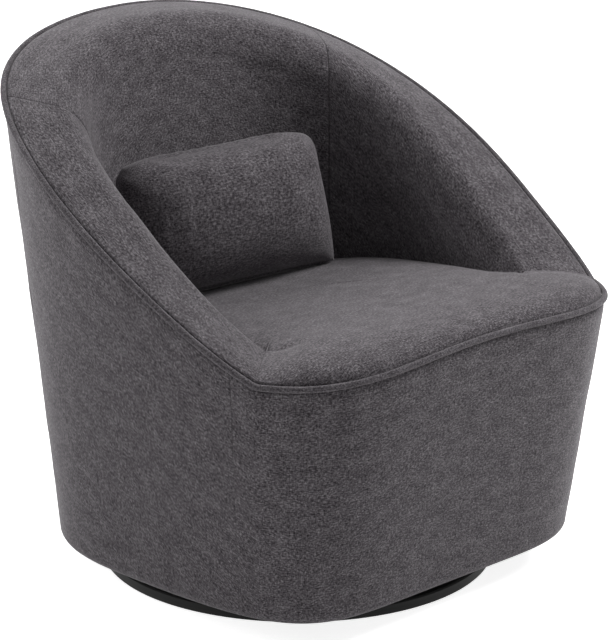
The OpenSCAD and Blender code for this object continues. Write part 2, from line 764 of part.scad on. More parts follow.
dust_inset = hem_w + 1;
module dust_cover() {
    color([0.08, 0.08, 0.08]) translate([0, 0, platform_z - dust_t]) linear_extrude(dust_t)
        difference() {
            ring_outline(dust_inset);
            translate([0, axis_y]) {
                circle(access_r, $fn = 96);
                bolt_places() circle(bolt_r + 0.5, $fn = 32);
            }
        }
}

// Staples round the edge of the dust cover: a flat crown with two legs in the wood.
staple_count = 24;
staple_w = 10;
module dust_cover_staples() {
    color("silver") for (i = [0:staple_count - 1]) {
        t = (i + 0.5) * 360 / staple_count;
        translate(at(t, platform_r(t) - dust_inset - 8, platform_z - dust_t))
            rotate([0, 0, t]) {
                translate([-staple_w / 2, -0.6, -0.6]) cube([staple_w, 1.2, 0.6]);
                for (x = [-staple_w / 2, staple_w / 2 - 0.6])
                    translate([x, -0.6, -0.6]) cube([0.6, 1.2, 8]);
            }
    }
}

front_rib_angles = [-40, -16, 16, 40];
side_rib_angles = [66, 90, 113];
back_rib_angles = [137, 158, 180, 202, 223];

module front_leg_ribs() { leg_ribs(front_rib_angles); }

module side_leg_ribs() {
    for (left = [false, true]) mirrored_if(left) leg_ribs(side_rib_angles);
}

module back_leg_ribs() { leg_ribs(back_rib_angles); }

module front_rail() {
    seat_frame_piece(-front_mitre + seam_gap, front_mitre - seam_gap, 24,
        [opening_corner_front - [0.3, 0], flip_x(opening_corner_front) + [0.3, 0]]);
}

module side_rail(left) {
    mirrored_if(left) seat_frame_piece(front_mitre + seam_gap, back_mitre - seam_gap, 14,
        [opening_corner_back - [0, 0.3], opening_corner_front + [0, 0.3]]);
}

module side_rail_left() { side_rail(true); }

module side_rail_right() { side_rail(false); }

module back_rail() {
    seat_frame_piece(back_mitre + seam_gap, 360 - back_mitre - seam_gap, 24,
        [flip_x(opening_corner_back) + [0.3, 0], opening_corner_back - [0.3, 0]]);
}

module seat_springs() {
    color("silver") for (x = spring_places) spring(x);
}

module spring_clips() {
    color(zinc) for (p = clip_ends) spring_clip(p);
}

module clip_nails() {
    color("silver") for (p = clip_ends) clip_nail(p);
}

module spring_felt() {
    color("gray") translate([0, 0, felt_z]) linear_extrude(felt_t) polygon([for (t = seat_rays)
        let (r = in_front(t) ? inner_r(arm_start, felt_z) - 12 : inner_r(t, felt_z) - 2)
        [r * sin(t), plan_y - r * cos(t)]]);
}

module arm_ribs_left() { mirrored_if(true) upper_ribs(side_rib_angles); }

module arm_ribs_right() { upper_ribs(side_rib_angles); }

module back_ribs() { upper_ribs(back_rib_angles); }

module arm_top_rail_left() { mirrored_if(true) arm_top_rail_right(); }

module arm_top_rail_right() { top_rail(arm_start + 3, back_seam - seam_gap, 12); }

module back_top_rail() { top_rail(back_seam + seam_gap, 360 - back_seam - seam_gap, 20); }

module arm_webbing_left() { mirrored_if(true) arm_webbing_right(); }

module arm_webbing_right() {
    webbing([for (i = [2:len(arm_angles) - 1]) arm_angles[i]], arm_straps);
}

module back_webbing() { webbing(back_angles, back_straps); }

module front_board() { backing_board(front_angles, 0); }

module side_board_left() { mirrored_if(true) side_board_right(); }

module side_board_right() { backing_board(side_angles, top_rail_drop / 2); }

module back_board() { backing_board(back_angles, top_rail_drop / 2); }

module seat_foam() { color(foam_cream) seat_block(); }

module arm_foam_left() { mirrored_if(true) arm_foam_right(); }

module arm_foam_right() { stuffing(arm_angles, arm_straps); }

module back_foam() { stuffing(back_angles, back_straps); }

module seat_cover() { color(fabric_dark) seat_skin(); }

module arm_cover_left() { mirrored_if(true) arm_cover_right(); }

module arm_cover_right() { inside_cover(arm_angles); }

module back_cover() { inside_cover(back_angles); }

module front_panel() { outside_panel(front_angles); }

module side_panel_left() { mirrored_if(true) side_panel_right(); }

module side_panel_right() { outside_panel(side_angles); }

module back_panel() { outside_panel(back_angles); }

// Piping: one unbroken tube along the whole rim.
welt_steps = 86;
welt_sides = 8;
function rim_point(t) = at(t, rim_r(t) - welt_in, rim_z(t));
function welt_ring(t) = let (
    p = rim_point(t),
    along = rim_point(t + 0.5) - rim_point(t - 0.5),
    forward = along / norm(along),
    side = cross(forward, [0, 0, 1]) / norm(cross(forward, [0, 0, 1])),
    up = cross(side, forward))
    [for (k = [0:welt_sides - 1]) let (a = (k + 0.5) * 360 / welt_sides)
        p + welt_r * (cos(a) * side + sin(a) * up)];

module welt() {
    color(fabric_dark * 0.8)
        through_sections([for (i = [0:welt_steps - 1]) welt_ring(i * 360 / welt_steps - 180)],
            welt_sides, closed = true);
}

// Knife-edged cushion: crowned on both faces, with sides that draw in between the corners.
across = 14;
down = 10;
function pillow_point(i, j, side, size) = let (
    u = sin(90 * (2 * i / across - 1)),
    v = sin(90 * (2 * j / down - 1)),
    puff = pow(max(1 - pow(u, 4), 0) * max(1 - pow(v, 4), 0), 0.45),
    corner = pillow_corner * size[0] / size[2])
    [size[0] / 2 * u * (1 - pillow_pull * (1 - v * v) - pillow_corner * pow(v, 6) * u * u),
        side * size[1] / 2 * puff,
        size[2] / 2 * v * (1 - pillow_pull * (1 - u * u) - corner * pow(u, 6) * v * v)];

function grid_index(i, j) = j * (across + 1) + i;
function inner_index(i, j) = (across + 1) * (down + 1) + (j - 1) * (across - 1) + i - 1;
function on_edge(i, j) = i == 0 || j == 0 || i == across || j == down;
function back_index(i, j) = on_edge(i, j) ? grid_index(i, j) : inner_index(i, j);

function cushion_front(size) = [for (j = [0:down], i = [0:across]) pillow_point(i, j, -1, size)];

// Two triangles of a grid's square, split along the line that runs out to the near corner.
function halves(q, i, j) = (i < across / 2) == (j < down / 2)
    ? [[q[0], q[2], q[1]], [q[0], q[3], q[2]]] : [[q[0], q[3], q[1]], [q[1], q[3], q[2]]];

module cushion(size) {
    back = [for (j = [1:down - 1], i = [1:across - 1]) pillow_point(i, j, 1, size)];
    faces = [for (j = [0:down - 1], i = [0:across - 1]) each concat(
        halves([grid_index(i, j), grid_index(i + 1, j), grid_index(i + 1, j + 1),
            grid_index(i, j + 1)], i, j),
        halves([back_index(i, j), back_index(i, j + 1), back_index(i + 1, j + 1),
            back_index(i + 1, j)], i, j))];
    polyhedron(concat(cushion_front(size), back), faces, convexity = 6);
}

// Front half of the pillow's cover: an outer and an inner grid joined along the knife edge.
module cushion_skin(size, lining) {
    n = (across + 1) * (down + 1);
    grids = [for (j = [0:down - 1], i = [0:across - 1]) let (
        a = grid_index(i, j),
        b = grid_index(i + 1, j),
        c = grid_index(i + 1, j + 1),
        d = grid_index(i, j + 1))
        each concat(halves([a, b, c, d], i, j), halves([n + a, n + d, n + c, n + b], i, j))];
    edge = concat([for (i = [0:across - 1]) grid_index(i, 0)],
        [for (j = [0:down - 1]) grid_index(across, j)],
        [for (i = [across:-1:1]) grid_index(i, down)],
        [for (j = [down:-1:1]) grid_index(0, j)]);
    m = len(edge);
    joined = [for (k = [0:m - 1]) let (a = edge[k], b = edge[(k + 1) % m])
        each [[a, b, n + b], [a, n + b, n + a]]];
    polyhedron(concat(cushion_front(size), cushion_front(lining)), concat(grids, joined),
        convexity = 6);
}

module pillow_place() {
    translate([pillow_x, plan_y + pillow_back, crown(plan_y + pillow_back) + pillow_rise])
        rotate([0, 0, pillow_yaw]) rotate([-pillow_lean, 0, 0]) children();
}

pillow_size = [pillow_w, pillow_t, pillow_h];
pillow_skin = [22, 4, 22];
pillow_slack = [3, 1, 3];

pillow_inside = pillow_size - pillow_skin;

module pillow_front() {
    color(fabric_dark * 1.05) pillow_place() cushion_skin(pillow_size, pillow_inside);
}

module pillow_back() {
    color(fabric_dark * 1.05) pillow_place() mirror([0, 1, 0])
        cushion_skin(pillow_size, pillow_inside);
}

module pillow_fill() {
    color("white") pillow_place() cushion(pillow_inside - pillow_slack);
}

base_disc();
base_glides();
base_tee_nuts();
base_bolts();
swivel_lower_plate();
ball_cage();
swivel_balls();
swivel_upper_plate();
swivel_pivot();
platform_bolts();
platform_tee_nuts();
bottom_platform();
dust_cover();
dust_cover_staples();
front_leg_ribs();
side_leg_ribs();
back_leg_ribs();
front_rail();
side_rail_left();
side_rail_right();
back_rail();
seat_springs();
spring_clips();
clip_nails();
spring_felt();
arm_ribs_left();
arm_ribs_right();
back_ribs();
arm_top_rail_left();
arm_top_rail_right();
back_top_rail();
arm_webbing_left();
arm_webbing_right();
back_webbing();
front_board();
side_board_left();
side_board_right();
back_board();
seat_foam();
arm_foam_left();
arm_foam_right();
back_foam();
seat_cover();
arm_cover_left();
arm_cover_right();
back_cover();
front_panel();
side_panel_left();
side_panel_right();
back_panel();
welt();
pillow_front();
pillow_back();
pillow_fill();
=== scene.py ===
# %% [markdown]
# # A swivel tub armchair
# The chair is one curved, padded shell on a hidden turntable. The shell is widest at the rim and
# narrows to a round foot. A cord of piping runs along the whole rim, the arms fall in one sweep
# to the front of a tight crowned seat, and a small cushion leans on the back. The hard parts
# come from the solid model. Every piece of upholstery is made here, in metres, from sizes that
# are written in millimetres.

# %% Load the solid model
import bpy, bmesh, math
import numpy as np
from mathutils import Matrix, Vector


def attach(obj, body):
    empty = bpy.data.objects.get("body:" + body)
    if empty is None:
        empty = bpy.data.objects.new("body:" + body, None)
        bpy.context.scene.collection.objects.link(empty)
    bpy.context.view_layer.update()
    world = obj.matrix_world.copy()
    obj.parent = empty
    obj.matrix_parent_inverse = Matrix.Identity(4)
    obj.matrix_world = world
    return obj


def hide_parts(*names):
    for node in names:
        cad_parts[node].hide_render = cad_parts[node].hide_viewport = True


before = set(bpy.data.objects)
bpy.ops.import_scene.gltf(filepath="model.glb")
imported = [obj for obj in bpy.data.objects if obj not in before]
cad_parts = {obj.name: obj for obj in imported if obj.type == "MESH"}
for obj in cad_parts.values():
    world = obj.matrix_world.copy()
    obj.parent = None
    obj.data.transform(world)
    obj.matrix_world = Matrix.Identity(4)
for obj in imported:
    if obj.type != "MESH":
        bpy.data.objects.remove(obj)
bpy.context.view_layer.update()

MM = 0.001

# %% [markdown]
# ## Camera
# The picture looks down a little on the left front corner from far away, through a long lens. A
# camera could be placed by eye, but a compass angle, a height angle and a distance from one point
# keep it easy to change. The small shift puts the chair where it sits in the frame without
# turning the camera.

# %% The camera
AZIMUTH, ELEVATION, DISTANCE = -44.741, 17.383, 5.0
AIM = Vector((0, -0.0135, 0.380))
FOCAL_PIXELS, FRAME_PIXELS, SHIFT_PIXELS = 3706.33, 640, (7.107, -33.325)
SENSOR = 36

az, el = math.radians(AZIMUTH), math.radians(ELEVATION)
away = Vector((math.sin(az) * math.cos(el), -math.cos(az) * math.cos(el), math.sin(el)))
lens = bpy.data.cameras.new("studio_camera")
lens.sensor_width = SENSOR
lens.lens = FOCAL_PIXELS * SENSOR / FRAME_PIXELS
lens.shift_x, lens.shift_y = (s / FRAME_PIXELS for s in SHIFT_PIXELS)
lens.clip_end = 50
camera = bpy.data.objects.new("studio_camera", lens)
camera.location = AIM + DISTANCE * away
camera.rotation_euler = (-away).to_track_quat("-Z", "Y").to_euler()
bpy.context.collection.objects.link(camera)
bpy.context.scene.camera = camera
print("lens", round(lens.lens, 1), "mm")

# %% [markdown]
# ## A short way to write shader maths
# A material is a net of nodes. It could be wired up node by node, but then a sum of three values
# takes ten lines. Two small classes let it be written as plain sums. A Tone is one number that
# varies over the surface: the four operations on it add Math nodes, also when a plain number
# comes first, as in 1 - mask. A Finish is a material, and one method of it adds any other node.

# %% One value in a finish
class Tone:
    """A value in a finish, with arithmetic that adds Math nodes."""

    def __init__(self, finish, socket):
        self.finish, self.socket = finish, socket

    def math(self, operation, *terms):
        return self.finish.node("ShaderNodeMath", {"operation": operation}, dict(enumerate(terms)))

    def __add__(self, other): return self.math("ADD", self, other)
    def __sub__(self, other): return self.math("SUBTRACT", self, other)
    def __mul__(self, other): return self.math("MULTIPLY", self, other)
    def __truediv__(self, other): return self.math("DIVIDE", self, other)
    def __rsub__(self, other): return self.math("SUBTRACT", other, self)
    def __rtruediv__(self, other): return self.math("DIVIDE", other, self)
    __radd__, __rmul__ = __add__, __mul__

    def wave(self):
        """A sine with one full swing for each unit of this value."""
        turned = self * (2 * math.pi)
        return turned.math("SINE", turned)

# %% A material and its nodes
class Finish:
    """A material, its shader, and one method that adds any other node."""

    def __init__(self, name, **sockets):
        self.material = bpy.data.materials.new(name)
        self.material.use_nodes = True
        self.tree = self.material.node_tree
        self.shader = self.tree.nodes["Principled BSDF"]
        for key, value in sockets.items():
            title = key.replace("_", " ").title().replace("Ior", "IOR")
            self.shader.inputs[title].default_value = value

    def node(self, kind, settings=None, sockets=None, out=0):
        made = self.tree.nodes.new(kind)
        for key, value in (settings or {}).items():
            if key == "stops":
                self.set_stops(made.color_ramp, value)
            else:
                setattr(made, key, value)
        for key, value in (sockets or {}).items():
            self.feed(made.inputs[key], value)
        return Tone(self, made.outputs[out])

    def set_stops(self, ramp, stops):
        while len(ramp.elements) < len(stops):
            ramp.elements.new(0.5)
        for element, (place, colour) in zip(ramp.elements, stops):
            element.position, element.color = place, (*colour, 1)

    def feed(self, socket, value):
        if isinstance(value, Tone):
            self.tree.links.new(value.socket, socket)
        else:
            socket.default_value = value

    def set(self, name, value):
        self.feed(self.shader.inputs[name], value)

    def ramp(self, tone, *stops):
        return self.node("ShaderNodeValToRGB", {"stops": stops}, {0: tone})

    def mix(self, share, one, other):
        return self.node("ShaderNodeMix", {"data_type": "RGBA"}, {0: share, 6: one, 7: other}, 2)

    def noise(self, place, scale, detail=2, roughness=0.5):
        return self.node("ShaderNodeTexNoise", None, {
            "Vector": place, "Scale": scale, "Detail": detail, "Roughness": roughness})

    def point(self, x, y, z=0.0):
        return self.node("ShaderNodeCombineXYZ", None, {0: x, 1: y, 2: z})

    def parts(self, vector):
        split = self.node("ShaderNodeSeparateXYZ", None, {0: vector})
        return [Tone(self, split.socket.node.outputs[k]) for k in range(3)]

    def bump(self, height, depth, strength):
        self.set("Normal", self.node("ShaderNodeBump", None, {
            "Height": height, "Distance": depth, "Strength": strength}))

# %% [markdown]
# ## Greys
# A grey is easiest to choose as the level that a screen shows, from 0 to 255, but a shader works
# in shares of full light. One function turns the first into the second. The other gives a grey
# that leans a trace towards violet, as this cloth does.

# %% Greys from screen levels
TINT = (0.6, -1.0, 0.4)


def linear(level):
    """The share of full light that a level on a screen, 0 to 255, stands for."""
    v = level / 255
    return v / 12.92 if v <= 0.04045 else ((v + 0.055) / 1.055) ** 2.4


def grey(level, warm=0.0):
    """A grey from its level on a screen, with a little less green where warm."""
    return tuple(linear(level + warm * share) for share in TINT)


print("a screen's level 128 is", round(linear(128), 3), "of full light")

# %% [markdown]
# ## Cloth
# The cover is a thick flat-woven melange: dark and pale grey fibres are spun into one soft yarn,
# so the cloth is a fine speckle of short flecks, a little longer along the weft than across it.
# It could be a picture of cloth laid over the chair, but that would blur close by and repeat.
# Instead the pattern is worked out from where a point lies on the cut cloth, in metres, which is
# stored on each piece as a map called cloth. Noise stretched along the two threads gives the
# flecks, a slow drift keeps the rows from looking ruled, and a faint cloud varies whole patches.
# Nine stops on the ramp turn that value into evenly spaced greys.

# %% The cloth finish
WARMTH, STOPS, STOP_REACH = 2.6, 9, 0.25
DRIFT_SPAN, DRIFT = 16, 3.0
CLOUD_SPAN, CLOUD_SHARE = (26, 17), 0.22
WEFT_SHARE, WEAVE_SHARE, WEAVE_DEPTH = 0.6, 0.12, 0.0007


def melange(name, middle, spread, fleck=(4.2, 1.9), thread=1.5, sheen=0.42):
    """Woven cloth: fleck is the length and width of one speck, thread the weave's pitch, in mm."""
    long, short = fleck
    f = Finish(name, roughness=0.95, sheen_weight=sheen, sheen_roughness=0.4,
               specular_ior_level=0.12, sheen_tint=(0.84, 0.82, 0.84, 1))
    across, along, _ = f.parts(f.node("ShaderNodeUVMap", {"uv_map": "cloth"}))
    across, along = across * 1000, along * 1000
    drift = f.noise(f.point(across / DRIFT_SPAN, along / DRIFT_SPAN, 2.0), 1.0) * DRIFT
    weft_flecks = f.noise(f.point(across / long, (along + drift) / short), 1.0, 2, 0.6)
    warp_flecks = f.noise(f.point((across + drift) / short, along / long, 5.0), 1.0, 2, 0.6)
    cloud = f.noise(f.point(across / CLOUD_SPAN[0], along / CLOUD_SPAN[1], 9.0), 1.0, 3, 0.6)
    flecks = weft_flecks * WEFT_SHARE + warp_flecks * (1 - WEFT_SHARE)
    tone = flecks + (cloud - 0.5) * CLOUD_SHARE
    stops = [(0.5 + STOP_REACH * s, grey(middle + spread * s, WARMTH))
             for s in np.linspace(-1, 1, STOPS)]
    f.set("Base Color", f.ramp(tone, *stops))
    weft, warp = ((along + drift) / thread).wave(), ((across + drift) / thread).wave()
    f.bump(flecks + weft * warp * WEAVE_SHARE, WEAVE_DEPTH, 0.35)
    return f.material


body_cloth = melange("melange_cloth", 92, 80)
cord_cloth = melange("piping_cloth", 92, 70, fleck=(3.2, 1.7))
pillow_cloth = melange("pillow_cloth", 89, 74, fleck=(3.7, 1.7))
print("cloth nodes:", len(body_cloth.node_tree.nodes))

# %% [markdown]
# ## The finishes of the parts inside and below
# Each hard part keeps its solid from the model and gets a finish of its own: birch plywood with
# its grain, brown hardboard, zinc plate, brass, spring steel, black lacquer on the base disc. Most
# are hidden by the upholstery, but they show when a reader takes the chair apart. One flat colour
# each would do from afar. A little noise in colour, gloss and relief, laid out in the object's own
# place, makes them hold up from close by. In each function the largest numbers say how fine a
# pattern is, in waves a metre, and the smallest how deep its relief is, in metres.

# %% Lacquer and wood
def object_place(f):
    """A point's place on its own object, which moves and turns with it."""
    return f.node("ShaderNodeTexCoord", out=3)


def lacquer(name, level, rough):
    f = Finish(name, roughness=rough, specular_ior_level=0.2)
    cloud = f.noise(object_place(f), 14, 4)
    f.set("Base Color", f.ramp(cloud, (0.3, grey(level - 3)), (0.7, grey(level + 5))))
    f.set("Roughness", cloud * 0.2 + (rough - 0.1))
    f.bump(f.noise(object_place(f), 320, 3), 0.0002, 0.35)
    return f.material


def wood(name, dark, light, length=9.0, ply=True):
    f = Finish(name, roughness=0.62)
    x, y, z = f.parts(object_place(f))
    grain = f.noise(f.point(x * length, y * 140, z * 140), 1.0, 6, 0.6)
    figure = f.noise(f.point(x * 3, y * 22, z * 22), 1.0, 3)
    tone = grain * 0.6 + figure * 0.4
    if ply:
        sheets = (z * 640).math("FRACT", z * 640)
        tone = tone + (sheets.math("GREATER_THAN", sheets, 0.5) - 0.5) * 0.12
    f.set("Base Color", f.ramp(tone, (0.3, dark), (0.7, light)))
    f.set("Roughness", grain * 0.3 + 0.45)
    f.bump(grain, 0.0003, 0.5)
    return f.material

# %% Metal, felt and webbing
def metal(name, colour, rough, scale=60):
    f = Finish(name, metallic=1.0, roughness=rough)
    spangle = f.noise(object_place(f), scale, 4, 0.6)
    f.set("Base Color", f.ramp(spangle, (0.35, tuple(c * 0.8 for c in colour)), (0.65, colour)))
    f.set("Roughness", spangle * 0.25 + (rough - 0.12))
    f.bump(f.noise(object_place(f), 900, 2), 0.00005, 0.3)
    return f.material


def fibre(name, dark, light, scale, rough=0.95, depth=0.0006):
    f = Finish(name, roughness=rough, specular_ior_level=0.2)
    x, y, z = f.parts(object_place(f))
    hair = f.noise(f.point(x * scale, y * scale * 1.7, z * scale), 1.0, 5, 0.7)
    f.set("Base Color", f.ramp(hair, (0.35, dark), (0.65, light)))
    f.set("Roughness", hair * 0.15 + (rough - 0.1))
    f.bump(hair, depth, 0.6)
    return f.material


def strap_weave(name, dark, light):
    f = Finish(name, roughness=0.85, specular_ior_level=0.3)
    x, y, z = f.parts(object_place(f))
    ribs = (z * 3100).math("SINE", z * 3100)
    threads = (x * 2400 + y * 2400).math("SINE", x * 2400 + y * 2400)
    tone = ribs * 0.25 + threads * 0.15 + f.noise(object_place(f), 240, 3)
    f.set("Base Color", f.ramp(tone, (0.2, dark), (0.8, light)))
    f.bump(ribs * 0.5 + threads * 0.5, 0.0004, 0.6)
    return f.material

# %% The finishes by name
black_lacquer = lacquer("black_lacquer", 16, 0.55)
glide_plastic = lacquer("glide_plastic", 44, 0.55)
birch_ply = wood("birch_ply", (0.42, 0.27, 0.14), (0.66, 0.48, 0.29))
hardboard = wood("hardboard", (0.17, 0.09, 0.045), (0.27, 0.16, 0.085), 60.0, ply=False)
zinc_plate = metal("zinc_plate", (0.62, 0.64, 0.66), 0.38)
cage_brass = metal("cage_brass", (0.72, 0.53, 0.24), 0.32)
ball_steel = metal("ball_steel", (0.74, 0.74, 0.75), 0.16)
spring_steel = metal("spring_steel", (0.40, 0.41, 0.43), 0.34, 200)
grey_felt = fibre("grey_felt", (0.12, 0.12, 0.125), (0.30, 0.29, 0.28), 420)
dust_cloth = fibre("dust_cloth", (0.010, 0.010, 0.011), (0.028, 0.028, 0.03), 700, depth=0.0003)
jute_webbing = strap_weave("jute_webbing", (0.045, 0.045, 0.05), (0.17, 0.17, 0.18))
print("finishes so far:", len(bpy.data.materials))

# %% Which part has which finish
NODE_FINISHES = {
    black_lacquer: ["base_disc"],
    glide_plastic: ["base_glides"],
    zinc_plate: ["base_tee_nuts", "base_bolts", "swivel_lower_plate", "swivel_upper_plate",
                 "swivel_pivot", "platform_bolts", "platform_tee_nuts", "dust_cover_staples",
                 "spring_clips", "clip_nails"],
    cage_brass: ["ball_cage"],
    ball_steel: ["swivel_balls"],
    birch_ply: ["bottom_platform", "front_leg_ribs", "side_leg_ribs", "back_leg_ribs",
                "front_rail", "side_rail_left", "side_rail_right", "back_rail",
                "arm_ribs_left", "arm_ribs_right", "back_ribs", "arm_top_rail_left",
                "arm_top_rail_right", "back_top_rail"],
    spring_steel: ["seat_springs"],
    grey_felt: ["spring_felt"],
    jute_webbing: ["arm_webbing_left", "arm_webbing_right", "back_webbing"],
    hardboard: ["front_board", "side_board_left", "side_board_right", "back_board"],
}
for finish, names in NODE_FINISHES.items():
    for name in names:
        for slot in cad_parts[name].material_slots:
            slot.material = finish
print("solids finished:", sum(len(n) for n in NODE_FINISHES.values()))

# %% [markdown]
# ## The shell in numbers
# The shell is worked out round a centre line. At each angle t, counted in degrees from the front
# of the chair, a radius and a height place a point. The rim is a rounded square that is fuller
# at the front, and its height stays level across the seat, then climbs in one sweep to the back.
# It could be drawn by hand as curves. Plain functions of an angle keep the covers, the piping and
# the seat on one and the same line. Lengths are in millimetres from here on. SEAT_END is the
# angle at which the seat's front ends and an arm begins, BACK_SEAM and FRONT_SEAM are the angles
# of the upright seams, and WELT_R is the radius of the piping, which sits WELT_IN inside the rim.

# %% The rim and the outside wall
PLAN_Y = -13.5
SEAT_END, BACK_SEAM, FRONT_SEAM = 52, 125, 57
FOOT_Z, BOTTOM_Z, EDGE_R, HEM = 56, 36, 20, 25
WELT_R, WELT_IN = 4.3, 2.0
RIM = dict(half_width=365, front=351, back=378,
           side_square=2.15, front_square=4.9, back_square=2.57)
FOOT = dict(half_width=308, front=304, back=295,
            side_square=2.9, front_square=5.8, back_square=2.0)
FRONT_Z, CORNER_DROP, RISE, SWEEP = 390, 16, 327, 1.05


def sin(t): return np.sin(np.radians(t))
def cos(t): return np.cos(np.radians(t))


def fold(t):
    """How far an angle is from the front, whichever side it is on."""
    t = np.abs(t)
    return np.where(t > 180, 360 - t, t)


def outline(t, half_width, front, back, side_square, front_square, back_square):
    ahead = cos(t) > 0
    depth = np.where(ahead, front, back)
    square = side_square + (np.where(ahead, front_square, back_square) - side_square) * cos(t) ** 2
    return ((np.abs(sin(t)) / half_width) ** square
            + (np.abs(cos(t)) / depth) ** square) ** (-1 / square)


def rim_r(t): return outline(t, **RIM)


def rim_z(t):
    a = fold(t)
    corner = FRONT_Z - CORNER_DROP / 2 * (1 - cos(180 * np.minimum(a, SEAT_END) / SEAT_END))
    return corner + RISE * sin(90 * np.maximum(a - SEAT_END, 0) / (180 - SEAT_END)) ** SWEEP


def wall_r(t, z):
    foot = outline(t, **FOOT)
    return foot + (rim_r(t) - foot) * (z - FOOT_Z) / (rim_z(t) - FOOT_Z)


def platform_r(t): return outline(t, **FOOT) - EDGE_R


def at(t, r, z):
    """Points in metres from angles, radii and heights in millimetres."""
    t, r, z = np.broadcast_arrays(t, r, z)
    return np.stack([r * sin(t), PLAN_Y - r * cos(t), z], -1) * MM


def skew(t):
    """How fast the rim's radius grows along the rim."""
    return (rim_r(t + 0.5) - rim_r(t - 0.5)) / (rim_r(t) * np.pi / 180)


def steep(t):
    """How steeply the rim climbs."""
    run = rim_r(t) * np.pi / 180 * np.sqrt(1 + skew(t) ** 2)
    return np.abs(rim_z(t + 0.5) - rim_z(t - 0.5)) / run


print("rim height, front to back:", np.round(rim_z(np.array([0, SEAT_END, 90, BACK_SEAM, 180])), 0))

# %% [markdown]
# ## Skins from cross-sections
# Most covers are lofts: a closed cross-section is worked out at many angles and the sections
# are joined with quads. A curve with a bevel would give one section all round, but here it changes
# all the way. The same function stores the map called cloth, in metres along the surface, so the
# weave keeps its size wherever the piece goes.

# %% Loft and helpers
SEAM_STEPS = np.array([0, 0.03, 0.1, 0.22, 0.4, 0.65])
RIPPLE_WAVES = 14


def mesh_piece(name, points, faces, cloth, finish):
    mesh = bpy.data.meshes.new(name)
    mesh.from_pydata([tuple(p) for p in points], [], faces)
    layer = mesh.uv_layers.new(name="cloth")
    layer.data.foreach_set("uv", np.asarray(cloth, np.float32).ravel())
    mesh.materials.append(finish)
    mesh.shade_smooth()
    work = bmesh.new()
    work.from_mesh(mesh)
    bmesh.ops.recalc_face_normals(work, faces=work.faces)
    work.to_mesh(mesh)
    work.free()
    piece = bpy.data.objects.new(name, mesh)
    bpy.context.collection.objects.link(piece)
    return piece


def loft(name, sections, finish, ring=False):
    """Joins closed cross-sections, an array of stations x points x 3; ring joins the ends too."""
    n, m = sections.shape[:2]
    spans = np.arange(n if ring else n - 1)
    steps = np.linalg.norm(np.diff(sections, axis=0), axis=2).mean(1)
    u = np.concatenate([[0], np.cumsum(steps), [np.sum(steps) + (steps[0] if ring else 0)]])
    looped = np.concatenate([sections, sections[:, :1]], 1)
    v = np.concatenate([np.zeros((n, 1)), np.cumsum(
        np.linalg.norm(np.diff(looped, axis=1), axis=2), 1)], 1)
    faces, cloth = [], []
    for i in spans:
        k = (i + 1) % n
        for j in range(m):
            q = (j + 1) % m
            faces.append((i * m + j, i * m + q, k * m + q, k * m + j))
            cloth += [(u[i], v[i, j]), (u[i], v[i, j + 1]),
                      (u[i + 1], v[k, j + 1]), (u[i + 1], v[k, j])]
    if not ring:
        for i in (0, n - 1):
            faces.append(tuple(range(i * m, i * m + m)))
            cloth += [(u[i] + p[0], p[2]) for p in sections[i]]
    return mesh_piece(name, sections.reshape(-1, 3), faces, cloth, finish)


def angles(first, last, step, roll):
    """Angles for a cover, closer together over the last few at its ends, where it rolls in."""
    near = roll * SEAM_STEPS
    middle = np.linspace(first + roll, last - roll, int((last - first) / step))
    return np.concatenate([first + near, middle, last - near[::-1]])


def seam_dip(distance, width, depth):
    """How deep a cover dips beside a seam: a quarter round of that width and depth."""
    near = 1 - np.clip(distance / width, 0, 1)
    return depth * (1 - np.sqrt(1 - near ** 2))


def ripple(a, b, size, seed):
    """Slow uneven waves over a surface, from -1 to 1, the same each time."""
    rng = np.random.default_rng(seed)
    total = 0
    for _ in range(RIPPLE_WAVES):
        turn, phase, stretch = rng.uniform(0, 2 * np.pi, 2).tolist() + [rng.uniform(0.6, 1.6)]
        total = total + np.sin((a * np.cos(turn) + b * np.sin(turn)) * 2 * np.pi
                               / (size * stretch) + phase)
    return total / RIPPLE_WAVES ** 0.5 / 1.6


def waves(a, b, seed, *kinds):
    """Ripples of several kinds added up, each given as its length and height in millimetres."""
    return sum(ripple(a, b, size, seed + i) * height for i, (size, height) in enumerate(kinds))


def pushed(r, z, d):
    """Cross-sections moved by d to the right of their own direction, seen along the shell."""
    dr, dz = np.gradient(r, axis=1), np.gradient(z, axis=1)
    size = np.hypot(dr, dz)
    return r + d * dz / size, z - d * dr / size


print("a dip 15 mm wide and 5 mm deep, at 0, 5, 10 and 15 mm from its seam:",
      np.round(seam_dip(np.array([0, 5, 10, 15]), 15, 5), 2))

# %% [markdown]
# ## Outside covers
# Four cloth covers are stretched over hardboard: one across the front, one on each side and one
# on the back. Each is turned under a rounded lower edge, stapled below, and meets its
# neighbours in a plain vertical seam. Stretched cloth over a board hardly hangs, so no simulation
# is needed: the section is a straight wall and a quarter round, with waves of half a millimetre.
# The edges dip into the seams, which draws thin lines, and the top edge rolls in under the
# piping, which gives the soft shadow that runs along below it.

# %% Stretch the outside covers
COVER_T, TOP_T, NAP, WELT_GAP, CLOSE = 3.0, 1.2, 0.4, 0.3, 0.02
SIDE_DIP, TOP_DIP = (3.0, 0.45), (15.0, 5.2)
MEAN_R, STILL, COVER_WAVES = 330, 30, ((170, 0.5), (60, 0.2))
DOWN_SHARES = np.concatenate([[0, 0.002, 0.005, 0.01, 0.018, 0.028], np.linspace(0.04, 1, 60)])


